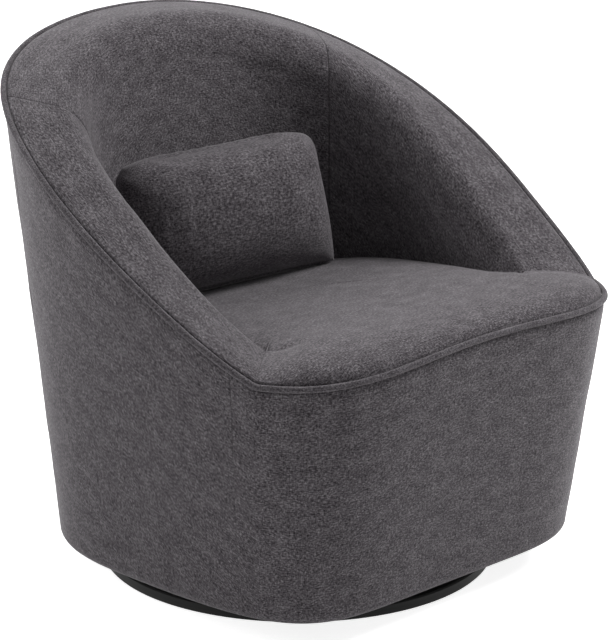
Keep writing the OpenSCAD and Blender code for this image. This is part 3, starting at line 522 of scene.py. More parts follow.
def outside_cover(name, first, last, seed, node):
    """A cover from one seam to the next; first and last are the angles of the two seams."""
    t = angles(first + CLOSE, last - CLOSE, 0.9, 1.5)
    column = t[:, None]
    top = rim_z(column) - (WELT_R + WELT_GAP) * np.sqrt(1 + steep(column) ** 2)
    z = top + (FOOT_Z - top) * DOWN_SHARES[None, :]
    r = wall_r(column, z)
    turn = np.linspace(0, 90, 9)[None, 1:]
    under = np.linspace(0, HEM, 5)[None, 1:]
    base = platform_r(column)
    r = np.concatenate([r, base + EDGE_R * cos(turn), base - under], 1)
    z = np.concatenate([z, FOOT_Z - EDGE_R * sin(turn) + 0 * column,
                        BOTTOM_Z + 0 * under + 0 * column], 1)
    arc = column * np.pi / 180 * MEAN_R
    life = waves(arc, z, seed, *COVER_WAVES)
    side = np.minimum(column - t[0], t[-1] - column) * np.pi / 180 * r
    dip = seam_dip(side, *SIDE_DIP) + seam_dip(top - z, *TOP_DIP)
    free = np.clip((z - BOTTOM_Z) / STILL, 0, 1)
    outer = pushed(r, z, -(life * free - dip - NAP))
    inner = pushed(r, z, np.maximum(COVER_T, dip + TOP_T))
    section_r = np.concatenate([outer[0], inner[0][:, ::-1]], 1)
    section_z = np.concatenate([outer[1], inner[1][:, ::-1]], 1)
    cover = loft(name, at(column, section_r, section_z), body_cloth)
    wide = float(np.linalg.norm(np.diff(at(t, rim_r(t), rim_z(t)), axis=0), axis=1).sum())
    tall = float(np.max(np.hypot(np.diff(outer[0], axis=1), np.diff(outer[1], axis=1)).sum(1))) * MM
    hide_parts(node)
    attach(cover, "chair")


outside_cover("front_cover", -FRONT_SEAM, FRONT_SEAM, 11, "front_panel")
outside_cover("side_cover_right", FRONT_SEAM, BACK_SEAM, 12, "side_panel_right")
outside_cover("side_cover_left", -BACK_SEAM, -FRONT_SEAM, 13, "side_panel_left")
outside_cover("rear_cover", BACK_SEAM, 360 - BACK_SEAM, 14, "back_panel")

# %% [markdown]
# ## Piping
# A cotton cord is sewn into a narrow strip of the same cloth and set in the seam all round the
# rim. A bevelled curve would make an even tube. This one is lofted from circles square to the
# rim, so that it can be a touch uneven, as cloth over cord is, and carry the map of the weave.

# %% Run the piping round the rim
PIPING_STATIONS, PIPING_SIDES, LUMP, LUMP_LENGTH, MM_PER_DEGREE = 480, 14, 0.12, 26, 5.8
t = np.linspace(-180, 180, PIPING_STATIONS + 1)[:-1]


def rim_line(t):
    """The middle of the cord at the angles t."""
    return at(t, rim_r(t) - WELT_IN, rim_z(t))


forward = rim_line(t + 0.5) - rim_line(t - 0.5)
forward /= np.linalg.norm(forward, axis=1)[:, None]
side = np.cross(forward, (0, 0, 1))
side /= np.linalg.norm(side, axis=1)[:, None]
up = np.cross(side, forward)
around = np.linspace(0, 360, PIPING_SIDES + 1)[:-1]
size = (WELT_R + LUMP * ripple(t * MM_PER_DEGREE, 0 * t, LUMP_LENGTH, 5)) * MM
tube = (rim_line(t)[:, None] + size[:, None, None] * (
    cos(around)[None, :, None] * side[:, None] + sin(around)[None, :, None] * up[:, None]))
piping = loft("rim_piping", tube, cord_cloth, ring=True)
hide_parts("welt")
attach(piping, "chair")
piping_length = float(np.linalg.norm(np.diff(rim_line(t), axis=0), axis=1).sum())
print("piping length", round(piping_length, 2), "m")

# %% [markdown]
# ## Arms and back
# Foam over webbing fills the arms and the back, and a cover is pulled over it from the piping,
# across a soft crest and down behind the seat. It could be blown up as a cushion is, but this
# foam is cut to shape, and blowing it up would lose the even line beside the piping. So its
# cross-section is drawn: two quarter ovals and a straight inner face, with a crest that grows
# fuller towards the front end of each arm. Each point of a section has an angle of its own, so
# that the seam between arm and back can lean backwards as it goes over the crest.

# %% The section of an arm or the back
INNER_HALF, END_SWELL, END_FADE = 257, 23, 26.5
INNER_BACK, BACK_RAKE, INNER_SQUARE, SEAT_HEIGHT = 195, 0.2, 2.8, 360
CREST_RISE, END_RISE, CREST_SHARE, END_SHARE = 7, 10.5, 0.6, 0.24
SHOULDER, LIFT_ANGLE, COVER_FOOT, COVER_DIP = 50, 13, 280.3, 2
OUTER, INNER, DOWN = np.linspace(0, 1, 15)[:-1], np.linspace(90, 0, 19), np.linspace(0, 1, 46)[1:]
SEEN = len(OUTER) + len(INNER) + len(DOWN)
LEAN_ANGLE, LEAN_POWER, LEAN_REACH = 8, 1.5, 30


def near_end(t): return np.exp((SEAT_END - fold(t)) / END_FADE)
def cover_in(t): return WELT_IN + (WELT_R + WELT_GAP) * np.sqrt(1 + skew(t) ** 2)


def shoulder_z(t):
    return rim_z(t) - SHOULDER * np.minimum(1, 0.5 + 0.5 * (fold(t) - SEAT_END) / LIFT_ANGLE)


def inner_r(t, z):
    half = INNER_HALF - END_SWELL * near_end(t)
    depth = INNER_BACK + BACK_RAKE * (z - SEAT_HEIGHT)
    s, c = np.maximum(np.abs(sin(t)), 1e-6), np.abs(cos(t))
    behind = ((s / half) ** INNER_SQUARE + (c / depth) ** INNER_SQUARE) ** (-1 / INNER_SQUARE)
    return np.where(fold(t) < 90, half / np.maximum(s, 0.3), behind)


def crest(t):
    """Height of the crest's top, thickness of the shell, and how much lies outside that top."""
    thick = rim_r(t) - inner_r(t, shoulder_z(t))
    top = rim_z(t) + CREST_RISE + END_RISE * near_end(t)
    return top, thick, (CREST_SHARE + END_SHARE * near_end(t)) * thick


def seen_line(t):
    """Radius and height of the seen section; t has a column for each of its points."""
    a, b, c = np.split(t, [len(OUTER), len(OUTER) + len(INNER)], axis=1)
    top, thick, out_w = crest(a)
    start = np.degrees(np.arccos(1 - cover_in(a) / out_w))
    p = start + (90 - start) * OUTER
    outer = rim_r(a) - out_w * (1 - cos(p)), rim_z(a) + (top - rim_z(a)) * sin(p)
    top, thick, out_w = crest(b)
    low = shoulder_z(b)
    inner = rim_r(b) - out_w - (thick - out_w) * cos(INNER), low + (top - low) * sin(INNER)
    low = shoulder_z(c)
    down_r = inner_r(c, low) + (inner_r(c, COVER_FOOT) - inner_r(c, low)) * DOWN
    return (np.concatenate([outer[0], inner[0], down_r], 1),
            np.concatenate([outer[1], inner[1], low + (COVER_FOOT - low) * DOWN], 1))


def face_r(t, z):
    """Radius of the inside at a height, on the straight face or on the curve above it."""
    low, (top, thick, out_w) = shoulder_z(t), crest(t)
    straight = inner_r(t, COVER_FOOT) + (inner_r(t, low) - inner_r(t, COVER_FOOT)) * (
        z - COVER_FOOT) / (low - COVER_FOOT)
    up = np.clip((z - low) / (top - low), 0, 1)
    return np.where(z > low, rim_r(t) - out_w - (thick - out_w) * np.sqrt(1 - up ** 2), straight)


seam_r, _ = seen_line(np.full((1, SEEN), float(BACK_SEAM)))
outward = np.clip((seam_r - seam_r.min()) / (seam_r.max() - seam_r.min()), 0, 1)
LEAN = LEAN_ANGLE * outward ** LEAN_POWER
print("crest of the back:", np.round(crest(180.0), 0), "of an arm's end:",
      np.round(crest(SEAT_END + 1.0), 0))

# %% [markdown]
# ## The pads
# Each pad is one closed loft along the shell: the section above where it shows, and a plain rear
# face just inside the boards. Where two covers are sewn together both turn in, so every edge dips
# a little, and most on the inside of the back. Slow waves stand for foam that is never quite
# even. They fade towards the seams, where the cloth is held.

# %% The pads of the arms and the back
FOAM_IN, RIB_IN, RAIL_DROP, GAP, END_GAP, SEAM_GAP = 37.2, 8.0, 50, 0.9, 0.02, 0.06
PAD_R, PAD_WAVES, PAD_NAP, REAR_STEPS = 300, ((120, 0.8), (45, 0.3)), 0.3, 8
CALM_TOP, CALM_Z, CALM_RISE, CALM_ANGLE, LEAST_LIFE = 25, 300, 60, 3, 0.15
PIPING_DIP, BACK_WIDTH, END_WIDTH = (5.0, 1.2), 4.5, 2.5
CREST_DEPTH, FACE_DEPTH, END_DEPTH, OVER_CREST = 0.7, 1.8, 0.5, len(OUTER) + 5


def seam_pull(t, end):
    """Share of the lean at an angle: all of it at a seam to the back, none 30 degrees away."""
    if fold(end) < BACK_SEAM - 1:
        return 0 * t
    toward_back = 1 if 0 < end < 180 else -1
    return toward_back * np.clip(1 - np.abs(t - end) / LEAN_REACH, 0, 1) ** 2


def pad(name, first, last, seed, nodes):
    """A pad from one seam to the next; nodes are the solids that it stands for."""
    t = angles(first, last, 0.9, 1.2)
    column = t[:, None]
    turned = column + (seam_pull(column, first) + seam_pull(column, last)) * LEAN
    r, z = seen_line(turned)
    arc = turned * np.pi / 180 * PAD_R
    length = np.cumsum(np.hypot(np.diff(r, axis=1, prepend=r[:, :1]),
                                np.diff(z, axis=1, prepend=z[:, :1])), 1)
    life = waves(arc, length, seed, *PAD_WAVES)
    life = life * np.clip(length / CALM_TOP, 0, 1) * np.clip((z - CALM_Z) / CALM_RISE, 0, 1)
    dip = seam_dip(length, *PIPING_DIP)
    for end, edge in ((first, turned[:1]), (last, turned[-1:])):
        to_back = fold(end) > BACK_SEAM - 1
        over_crest = np.where(np.arange(SEEN) < OVER_CREST, CREST_DEPTH, FACE_DEPTH)
        width, depth = (BACK_WIDTH, over_crest) if to_back else (END_WIDTH, END_DEPTH)
        dip = dip + seam_dip(np.abs(turned - edge) * np.pi / 180 * r, width, depth)
        life = life * np.clip(np.abs(column - end) / CALM_ANGLE, LEAST_LIFE, 1)
    r, z = pushed(r, z, life - dip - PAD_NAP)
    edge_r = rim_r(turned[:, :1]) - cover_in(turned[:, :1])
    edge_z = rim_z(turned[:, :1]) - COVER_DIP
    over = rim_z(column) - RAIL_DROP + GAP
    rear_share = np.linspace(0, 1, REAR_STEPS)
    back_z = np.concatenate([COVER_FOOT + (over - COVER_FOOT) * rear_share, over], 1)
    back_r = wall_r(column, back_z) - np.array([FOAM_IN] * REAR_STEPS + [RIB_IN])
    every_t = np.concatenate([turned[:, :1], turned, np.repeat(column, REAR_STEPS + 1, 1)], 1)
    piece = loft(name, at(every_t, np.concatenate([edge_r, r, back_r], 1),
                          np.concatenate([edge_z, z, back_z], 1)), body_cloth)
    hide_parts(*nodes)
    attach(piece, "chair")
    print(name, [round(d, 3) for d in piece.dimensions])


pad("arm_pad_right", SEAT_END + END_GAP, BACK_SEAM - SEAM_GAP, 21,
    ["arm_cover_right", "arm_foam_right"])
pad("arm_pad_left", SEAM_GAP - BACK_SEAM, -SEAT_END - END_GAP, 22,
    ["arm_cover_left", "arm_foam_left"])
pad("back_pad", BACK_SEAM + SEAM_GAP, 360 - BACK_SEAM - SEAM_GAP, 23, ["back_cover", "back_foam"])

# %% [markdown]
# ## Seat
# The seat is tight upholstery: foam on zigzag springs, crowned in the middle, with its cover
# pulled down behind the crease beside the arms and sewn to the piping at the front. Its two
# front corners reach out past the ends of the arms. The height of each point comes from how far
# it is from the sewn edge, measured smoothly to the whole edge at once, as a tight skin would
# rise. Beside an arm's end the corner takes the arm's own shape, so the two run on as one.

# %% How high the seat stands
SEAT_GAP, TUCK, FOAM_Z, PROUD = 1.2, 24, 290, 0.5
CROWN, PITCH, CREASE_Z, CREASE_LOW, CREASE_FALL = 379, 0.13, 376, 337, 0.135
FRONT_ROLL, SIDE_ROLL, ROLL_POWER, EAR_BLEND, EAR_RISE, EAR_FADE = 350, 262, 5, 60, 6, 2.5
EDGE_STEP, EDGE_INSET, JUMP, JUMP_LENGTH, NEAREST = 0.12, 0.1, 20, 0.5, 0.4
ARM_START, ARM_BLEND, ARM_INSET, ARM_TOP = 4, 10, 0.05, len(OUTER) + len(INNER) - 1


def crease_z(t):
    """Height of the seam beside and behind the seat; it fades out at the front end of an arm."""
    start = cos(SEAT_END) * inner_r(SEAT_END, SEAT_HEIGHT)
    fall = CREASE_Z - CREASE_FALL * (start - inner_r(t, SEAT_HEIGHT) * cos(t))
    return np.maximum(CREASE_LOW, fall) + EAR_RISE * np.exp((SEAT_END - fold(t)) / EAR_FADE)


def seat_edge(t):
    """Radius and height of the seat's sewn edge, and how wide it rolls down there."""
    ahead = fold(t) < SEAT_END
    z = np.where(ahead, rim_z(t) + PROUD, crease_z(t))
    r = np.where(ahead, rim_r(t) - cover_in(t), face_r(t, crease_z(t)) - SEAT_GAP)
    return r, z, np.where(ahead, FRONT_ROLL, SIDE_ROLL)


def plan(t, r): return np.stack([r * sin(t), -r * cos(t)], -1)


fine = np.concatenate([np.arange(-SEAT_END + EDGE_INSET, SEAT_END, EDGE_STEP),
                       np.arange(SEAT_END + EDGE_INSET, 360 - SEAT_END, EDGE_STEP)])
sewn_r, sewn_z, sewn_roll = seat_edge(fine)
sewn = plan(fine, sewn_r)
piece_length = np.linalg.norm(np.roll(sewn, -1, 0) - sewn, axis=1)
piece_length[piece_length > JUMP] = JUMP_LENGTH
arm_end_r, arm_end_z = (c[0] for c in seen_line(np.full((1, SEEN), SEAT_END + ARM_INSET)))


def seat_height(t, r):
    """Height of the seat's top at one ring of points."""
    place = plan(t, r)
    apart = np.linalg.norm(place[:, None] - sewn[None], axis=2).clip(NEAREST)
    weight = piece_length / apart ** 4
    total = weight.sum(1)
    inward = (2 * total / np.pi) ** (-1 / 3)
    edge, roll = (weight * sewn_z).sum(1) / total, (weight * sewn_roll).sum(1) / total
    swell = np.sqrt(1 - (1 - np.clip(inward / roll, 0, 1)) ** ROLL_POWER)
    z = edge + (CROWN - PITCH * place[:, 1] - edge) * swell
    beside = np.clip(1 - (SEAT_END - fold(t)) * np.pi / 180 * r / EAR_BLEND, 0, 1)
    beside = np.where(fold(t) < SEAT_END, beside ** 2 * (3 - 2 * beside), 0)
    on_arm = np.clip((r - seat_edge(SEAT_END + EDGE_INSET)[0] + ARM_START) / ARM_BLEND, 0, 1)
    arm_z = np.interp(r, arm_end_r[:ARM_TOP][::-1], arm_end_z[:ARM_TOP][::-1])
    return z + (arm_z - z) * beside * on_arm


print("sewn edge of the seat, in", len(fine), "steps:", round(piece_length.sum() * MM, 2), "m")

# %% [markdown]
# ## The seat pad
# A square grid would fight the round edge, so the pad is made of rings, which shrink from the
# sewn edge to the middle. They lie closer together at the edge, where the cloth rolls down, and
# close in one point. Two more rings below the edge go down behind the arms and inside the front
# board. The pad dips at its two short seams with the arms' ends, and slow waves keep its top
# from looking cast.

# %% The seat pad
FRONT_STEP, REAR_STEP, SEAT_ENDS, SEAT_RINGS, CROWDED = 1.3, 1.6, 2.0, 52, 1.7
EAR_DIP, EAR_START, SEAT_WAVES, FRONT_IN = (2.5, 0.5), 6, ((150, 0.9), (50, 0.3)), 7.1
CALM_EDGE, CALM_SEAM, CALM_LEAST = 6, 40, 0.1

front_rays = angles(-SEAT_END + END_GAP, SEAT_END - END_GAP, FRONT_STEP, SEAT_ENDS)
right_rays = angles(SEAT_END + END_GAP, 180, REAR_STEP, SEAT_ENDS)
rays = np.concatenate([front_rays, right_rays, 360 - right_rays[-2::-1]])
ahead = fold(rays) < SEAT_END
edge_r, edge_z, _ = seat_edge(rays)
shares = 1 - np.linspace(0, 1, SEAT_RINGS)[:-1] ** CROWDED
top_r = edge_r * shares[:, None]
top_z = np.array([edge_z] + [seat_height(rays, ring) for ring in top_r[1:]])
seam_side = np.where(ahead, (SEAT_END - fold(rays)) * np.pi / 180 * top_r, 1e3)
past_crease = np.clip((top_r - seat_edge(SEAT_END + EDGE_INSET)[0]) / EAR_START, 0, 1)
top_z = top_z - seam_dip(seam_side, *EAR_DIP) * past_crease
px, py = top_r * sin(rays), -top_r * cos(rays)
quiet = (np.clip((1 - shares[:, None]) * CALM_EDGE, 0, 1)
         * np.clip(seam_side / CALM_SEAM, CALM_LEAST, 1))
top_z = top_z + waves(px, py, 31, *SEAT_WAVES) * quiet
low_z = np.where(ahead, edge_z - WELT_R, edge_z - TUCK)
low_r = np.where(ahead, edge_r, face_r(rays, edge_z - TUCK) - SEAT_GAP)
foot_r = np.where(ahead, wall_r(rays, FOAM_Z) - FRONT_IN, face_r(rays, FOAM_Z) - GAP)
rings_r = np.concatenate([foot_r[None], low_r[None], top_r])
rings_z = np.concatenate([np.full_like(foot_r, FOAM_Z)[None], low_z[None], top_z])
points = at(rays, rings_r, rings_z)
print("seat pad:", len(rings_r), "rings of", len(rays), "points")

# %% Skin and map of the seat pad
n_rings, n_rays = points.shape[:2]
step = np.linalg.norm(np.diff(points, axis=0), axis=2)
reach = np.concatenate([np.cumsum(step[::-1], 0)[::-1], 0 * step[:1]]) + rings_r[-1] * MM
flat = plan(rays, reach)
middle = n_rings * n_rays
faces, cloth = [], []
for i in range(n_rings - 1):
    for j in range(n_rays):
        k = (j + 1) % n_rays
        faces.append((i * n_rays + j, i * n_rays + k, (i + 1) * n_rays + k, (i + 1) * n_rays + j))
        cloth += [flat[i, j], flat[i, k], flat[i + 1, k], flat[i + 1, j]]
for j in range(n_rays):
    k = (j + 1) % n_rays
    faces.append(((n_rings - 1) * n_rays + j, (n_rings - 1) * n_rays + k, middle))
    cloth += [flat[-1, j], flat[-1, k], (0, 0)]
faces.append(tuple(range(n_rays)))
cloth += [flat[0, j] for j in range(n_rays)]
top = float(seat_height(np.array([0.0]), np.array([1.0]))[0])
seat = mesh_piece("seat_pad", np.concatenate([points.reshape(-1, 3), [at(0, 0, top)]]), faces,
                  cloth, body_cloth)
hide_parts("seat_cover", "seat_foam")
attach(seat, "chair")
print("seat crown", round(float(top_z.max()), 1), "mm above the floor, middle", round(top, 1))

# %% [markdown]
# ## Lumbar pillow
# The pillow is a knife-edge cushion: two flat panels sewn edge to edge and stuffed. It could be a
# squashed ball, but that has no corners and no seam. It is built as it is sewn: two sheets that
# share one edge, already domed a little, with sides drawn in between the corners and each
# corner rounded by its own amount, since no two corners of a soft pillow are alike. Its points
# lie closer together near the edge, where the cloth bends most.

# %% Two panels with one edge
PILLOW, CUT = np.array([336, 194, 130]), (0.985, 0.985, 0.94)
ACROSS, DOWNWARD, PULL, DOME_ACROSS, DOME_DOWN = 72, 44, 0.02, 3, 2.3
CORNERS = {(-1, 1): (0.105, 0.07), (1, 1): (0.055, 0.09),
           (-1, -1): (0.03, 0.04), (1, -1): (0.005, 0.02)}


def pillow_grid(size, side):
    """The points of one panel; side is -1 for the front and 1 for the rear."""
    u = np.sin(np.linspace(-1, 1, ACROSS + 1) * np.pi / 2)[None, :]
    v = np.sin(np.linspace(-1, 1, DOWNWARD + 1) * np.pi / 2)[:, None]
    puff = ((1 - np.abs(u) ** DOME_ACROSS).clip(0) * (1 - np.abs(v) ** DOME_DOWN).clip(0)) ** 0.5
    corner, upright = (np.select([(u <= 0) & (v > 0), (u > 0) & (v > 0), (u <= 0) & (v <= 0)],
                                 [CORNERS[c][k] for c in ((-1, 1), (1, 1), (-1, -1))],
                                 CORNERS[1, -1][k]) for k in (0, 1))
    x = size[0] / 2 * u * (1 - PULL * (1 - v * v) - corner * v ** 6 * u * u)
    y = side * size[2] / 2 * puff
    z = size[1] / 2 * v * (1 - PULL * (1 - u * u) - upright * u ** 6 * v * v)
    return np.stack([x, y, z], -1) * MM


def pillow_mesh(name, size):
    """Both panels as one skin, with the cut cloth of each laid out flat in the map."""
    n, m = DOWNWARD + 1, ACROSS + 1
    fronts, backs = (pillow_grid(size, side).reshape(-1, 3) for side in (-1, 1))
    index = np.arange(n * m).reshape(n, m)
    other = index + n * m
    for edge in (np.s_[0, :], np.s_[-1, :], np.s_[:, 0], np.s_[:, -1]):
        other[edge] = index[edge]
    used = np.unique(np.concatenate([index.ravel(), other.ravel()]))
    place = np.zeros(2 * n * m, int)
    place[used] = np.arange(len(used))
    flat = np.stack(np.broadcast_arrays(np.linspace(-0.5, 0.5, m)[None] * size[0] * MM,
                                        np.linspace(-0.5, 0.5, n)[:, None] * size[1] * MM), -1)
    faces, cloth = [], []
    for grid, turned in ((index, False), (other, True)):
        for j in range(n - 1):
            for i in range(m - 1):
                corners = [(j, i), (j, i + 1), (j + 1, i + 1), (j + 1, i)]
                corners = corners[::-1] if turned else corners
                faces.append([int(place[grid[c]]) for c in corners])
                cloth += [flat[c] + (0.5 if turned else 0) for c in corners]
    return mesh_piece(name, np.concatenate([fronts, backs])[used], faces, cloth, pillow_cloth)


pillow = pillow_mesh("lumbar_pillow", PILLOW * CUT)
print("pillow panels:", len(pillow.data.vertices), "points,", len(pillow.data.polygons), "faces")

# %% [markdown]
# ## Stuffing
# Real stuffing presses on the cover from inside and pulls the sides in between the corners.
# Blender's Cloth does the same with pressure and no gravity. Twenty frames are enough, and the
# result is kept in the mesh. A smooth limit on how far each point may go keeps the shape near
# its pattern, without the creases that a hard limit would leave.

# %% Stuff the pillow
PRESSURE, FURTHEST, FRAMES, STIFF, BENDING = 4.0, 0.004, 20, 18, 0.6


def stuff(piece, pressure, cap):
    """Blows a closed cover up and keeps the result, with no point moved further than cap."""
    before = np.array([v.co for v in piece.data.vertices])
    cloth = piece.modifiers.new("stuffing", "CLOTH")
    cloth.settings.use_pressure = True
    cloth.settings.uniform_pressure_force = pressure
    cloth.settings.effector_weights.gravity = 0
    cloth.settings.quality = 6
    cloth.settings.tension_stiffness = cloth.settings.compression_stiffness = STIFF
    cloth.settings.bending_stiffness = BENDING
    scene = bpy.context.scene
    for number in range(1, FRAMES + 1):
        scene.frame_set(number)
    graph = bpy.context.evaluated_depsgraph_get()
    after = np.array([v.co for v in piece.evaluated_get(graph).data.vertices])
    piece.modifiers.remove(cloth)
    scene.frame_set(1)
    move = after - before
    far = np.linalg.norm(move, axis=1, keepdims=True)
    move *= cap * np.tanh(far / cap) / np.maximum(far, 1e-9)
    piece.data.vertices.foreach_set("co", (before + move).ravel())
    return float(far.max())


print("pillow moved", round(stuff(pillow, PRESSURE, FURTHEST) * 1000, 1), "mm")

# %% [markdown]
# ## Seam and folds
# Stitches gather the cloth, so the seam lies a little deeper than the cloth beside it and has
# small puckers, and a shallow fold runs in from each upper corner, where the stuffing doesn't
# reach. A simulation would need far more points for this. Moving the points after it by a
# narrow bell curve gives the same look for little, and the folds stay where they should be.

# %% Draw the seam in
SEAM_DEPTH, SEAM_WIDTH, EDGE_ZONE = 1.4, 6.0, 0.8
PUCKER_SHARE, PUCKER_LENGTH, MM_A_DEGREE = 0.35, 9, 2.2
FOLD_TIP, FOLD_RUN, FOLD_WIDTH, FOLD_LENGTH, FOLD_START = (0.95, 0.93), (0.62, 0.78), 4.0, 38, -12
LEFT_FOLD, RIGHT_FOLD = 3.2, 1.2


def draw_seam(piece, size):
    """Pulls the sewn edge inwards, with puckers, and folds the upper corners in."""
    spots = np.array([v.co for v in piece.data.vertices]) / MM
    half = np.array([size[0], size[2], size[1]]) / 2
    away = np.abs(spots[:, 1])
    rim = np.maximum(np.abs(spots[:, 0]) / half[0], np.abs(spots[:, 2]) / half[2]) > EDGE_ZONE
    along = np.degrees(np.arctan2(spots[:, 2] / half[2], spots[:, 0] / half[0]))
    puckers = 1 + PUCKER_SHARE * ripple(along * MM_A_DEGREE, 0 * along, PUCKER_LENGTH, 41)
    pull = SEAM_DEPTH * puckers * np.exp(-(away / SEAM_WIDTH) ** 2) * rim
    inward = np.stack([spots[:, 0], 0 * away, spots[:, 2]], 1)
    inward /= np.maximum(np.linalg.norm(inward, axis=1, keepdims=True), 1e-6)
    for side in (-1, 1):
        tip = np.array([side * half[0] * FOLD_TIP[0], half[2] * FOLD_TIP[1]])
        run = np.array([-side * FOLD_RUN[0], -FOLD_RUN[1]])
        offset = spots[:, [0, 2]] - tip
        along_fold = offset @ run
        across_fold = np.abs(offset[:, 0] * run[1] - offset[:, 1] * run[0])
        fold_in = (np.exp(-(across_fold / FOLD_WIDTH) ** 2)
                   * np.clip(1 - along_fold / FOLD_LENGTH, 0, 1) * (along_fold > FOLD_START))
        sink = LEFT_FOLD if side < 0 else RIGHT_FOLD
        spots[:, 1] -= np.sign(spots[:, 1]) * np.minimum(sink * fold_in, away * 0.5)
    spots -= inward * pull[:, None]
    piece.data.vertices.foreach_set("co", (spots * MM).ravel())
    print("seam drawn in by up to", round(float(pull.max()), 1), "mm")


draw_seam(pillow, PILLOW)

# %% [markdown]
# ## The pillow in its place
# The pillow leans back on the seat, turned a little. Its rear half is pressed flatter than the
# front one, so the seam lies behind the middle and the front panel turns under at the foot. A
# simulated drop could do that too, but it might land differently after any other change. So the
# shape is set: rear half flattened, the whole brought to its measured size, then placed.

# %% Press, size and place the pillow
STUFFED, REAR_SHARE, SEAM_BACK = np.array([331, 193, 110]), 0.55, 10.0
PILLOW_BACK, PILLOW_RISE, PILLOW_LEAN, PILLOW_YAW = 119.5, 97.0, 19.0, -7.7
PILLOW_AT = (-12, PLAN_Y + PILLOW_BACK, CROWN - PITCH * PILLOW_BACK + PILLOW_RISE)


def settle(piece, size):
    """Presses the rear half flatter, as against a back, and brings the whole to its set size."""
    spots = np.array([v.co for v in piece.data.vertices]) / MM
    spots[:, 1] = np.where(spots[:, 1] > 0, REAR_SHARE * spots[:, 1], spots[:, 1])
    low, high = spots.min(0), spots.max(0)
    scale = np.array([size[0], size[2], size[1]]) / (high - low)
    middle = (low + high) / 2
    middle[1] = 0
    spots = (spots - middle) * scale + (0, SEAM_BACK, 0)
    piece.data.vertices.foreach_set("co", (spots * MM).ravel())


settle(pillow, STUFFED)
pillow.location = [c * MM for c in PILLOW_AT]
pillow.rotation_euler = (math.radians(-PILLOW_LEAN), 0, math.radians(PILLOW_YAW))
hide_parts("pillow_front", "pillow_back", "pillow_fill")
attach(pillow, "pillow")
print("pillow", [round(d, 3) for d in pillow.dimensions])

# %% [markdown]
# ## Dust cover
# A thin black cloth closes the underside. It could be modelled as a hanging sheet, but it is
# stapled flat round its edge, with holes for the turntable and its bolts. So its solid stays as
# it is and only gets the finish of a felted cloth.

# %% The dust cover
cover_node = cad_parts["dust_cover"]
for slot in cover_node.material_slots:
    slot.material = dust_cloth
print("dust cover finished, slots:", len(cover_node.material_slots))

# %% [markdown]
# ## Floor
# A pale floor carries the chair's shadow. A white surround could come from stronger light, but
# that would bleach the chair as well. Here the floor has a glow of its own, which only the camera
# and mirror images see, so the glow adds no light to the cloth.

# %% The floor
FLOOR, FLOOR_COLOUR, FLOOR_GLOW = 9, (0.92, 0.92, 0.92, 1), (0.86, 0.86, 0.86, 1)
WHITE, BLACK = (1, 1, 1, 1), (0, 0, 0, 1)

floor_mesh = bpy.data.meshes.new("studio_floor")
floor_mesh.from_pydata([(-FLOOR, -FLOOR, 0), (FLOOR, -FLOOR, 0), (FLOOR, FLOOR, 0),
                        (-FLOOR, FLOOR, 0)], [], [(0, 1, 2, 3)])
floor = bpy.data.objects.new("studio_floor", floor_mesh)
bpy.context.collection.objects.link(floor)
floor_finish = Finish("pale_floor", roughness=0.9, base_color=FLOOR_COLOUR)
path = floor_finish.node("ShaderNodeLightPath").socket.node.outputs
seen, glossy, through = (Tone(floor_finish, path["Is %s Ray" % kind])
                         for kind in ("Camera", "Glossy", "Transmission"))
either = seen.math("MAXIMUM", seen.math("MAXIMUM", seen, glossy), through)
floor_finish.set("Emission Color", floor_finish.mix(either, BLACK, FLOOR_GLOW))
floor_finish.shader.inputs["Emission Strength"].default_value = 1
floor_mesh.materials.append(floor_finish.material)
print("floor", [round(d, 1) for d in floor.dimensions], "m")

# %% [markdown]
# ## Room
# A dim even room fills the shadows. The same split by kind of ray lets the camera, glossy and
# clear surfaces see plain white behind the chair, while the cloth gets only the dim light.

# %% The room
ROOM_LIGHT, BACKDROP_LIGHT = 0.18, 1.0

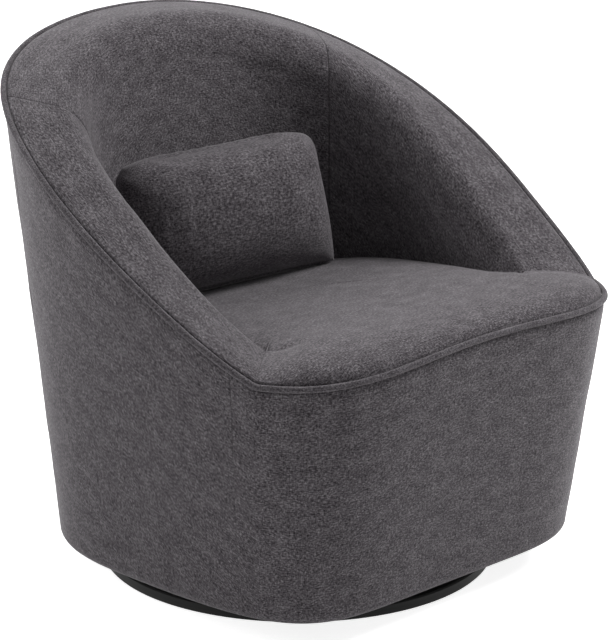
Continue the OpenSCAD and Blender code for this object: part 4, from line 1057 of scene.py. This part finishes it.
world = bpy.data.worlds.new("studio_room")
bpy.context.scene.world = world
world.use_nodes = True
nodes, links = world.node_tree.nodes, world.node_tree.links
room = nodes["Background"]
room.inputs["Color"].default_value = WHITE
room.inputs["Strength"].default_value = ROOM_LIGHT
backdrop = nodes.new("ShaderNodeBackground")
backdrop.inputs["Strength"].default_value = BACKDROP_LIGHT
backdrop.inputs["Color"].default_value = WHITE
rays_node = nodes.new("ShaderNodeLightPath")
first = nodes.new("ShaderNodeMath")
first.operation = "MAXIMUM"
second = nodes.new("ShaderNodeMath")
second.operation = "MAXIMUM"
links.new(rays_node.outputs["Is Camera Ray"], first.inputs[0])
links.new(rays_node.outputs["Is Glossy Ray"], first.inputs[1])
links.new(first.outputs[0], second.inputs[0])
links.new(rays_node.outputs["Is Transmission Ray"], second.inputs[1])
choose = nodes.new("ShaderNodeMixShader")
links.new(second.outputs[0], choose.inputs[0])
links.new(room.outputs[0], choose.inputs[1])
links.new(backdrop.outputs[0], choose.inputs[2])
links.new(choose.outputs[0], nodes["World Output"].inputs["Surface"])
print("room nodes:", len(nodes))

# %% [markdown]
# ## Lamps
# The light is a plain studio one. A large soft lamp hangs high on the right, one high behind and
# one behind on the left. Point lamps would draw hard edges into a cloth this matt, so all three
# are wide discs. They leave the left front corner as the darkest part and keep the inside of the
# tub deep.

# %% The lamps
LIT_SPOT = (0, 0, 0.35)


def lamp(name, place, size, power):
    """A soft round lamp at a place, in metres, turned towards the seat; power is in watts."""
    light = bpy.data.lights.new(name, "AREA")
    light.shape, light.size, light.energy = "DISK", size, power
    lamp_object = bpy.data.objects.new(name, light)
    lamp_object.location = place
    towards = Vector(LIT_SPOT) - Vector(place)
    lamp_object.rotation_euler = towards.to_track_quat("-Z", "Y").to_euler()
    bpy.context.collection.objects.link(lamp_object)


lamp("key_lamp", (2.4, -1.4, 3.2), 2.0, 118)
lamp("top_lamp", (-0.4, 2.6, 3.0), 1.8, 60)
lamp("rim_lamp", (-2.9, 2.2, 2.0), 1.8, 36)

# %% [markdown]
# ## Finish
# The view transform is the plain one, because the others would bend the greys that were chosen
# as screen levels.

# %% The view transform
bpy.context.scene.view_settings.view_transform = "Standard"
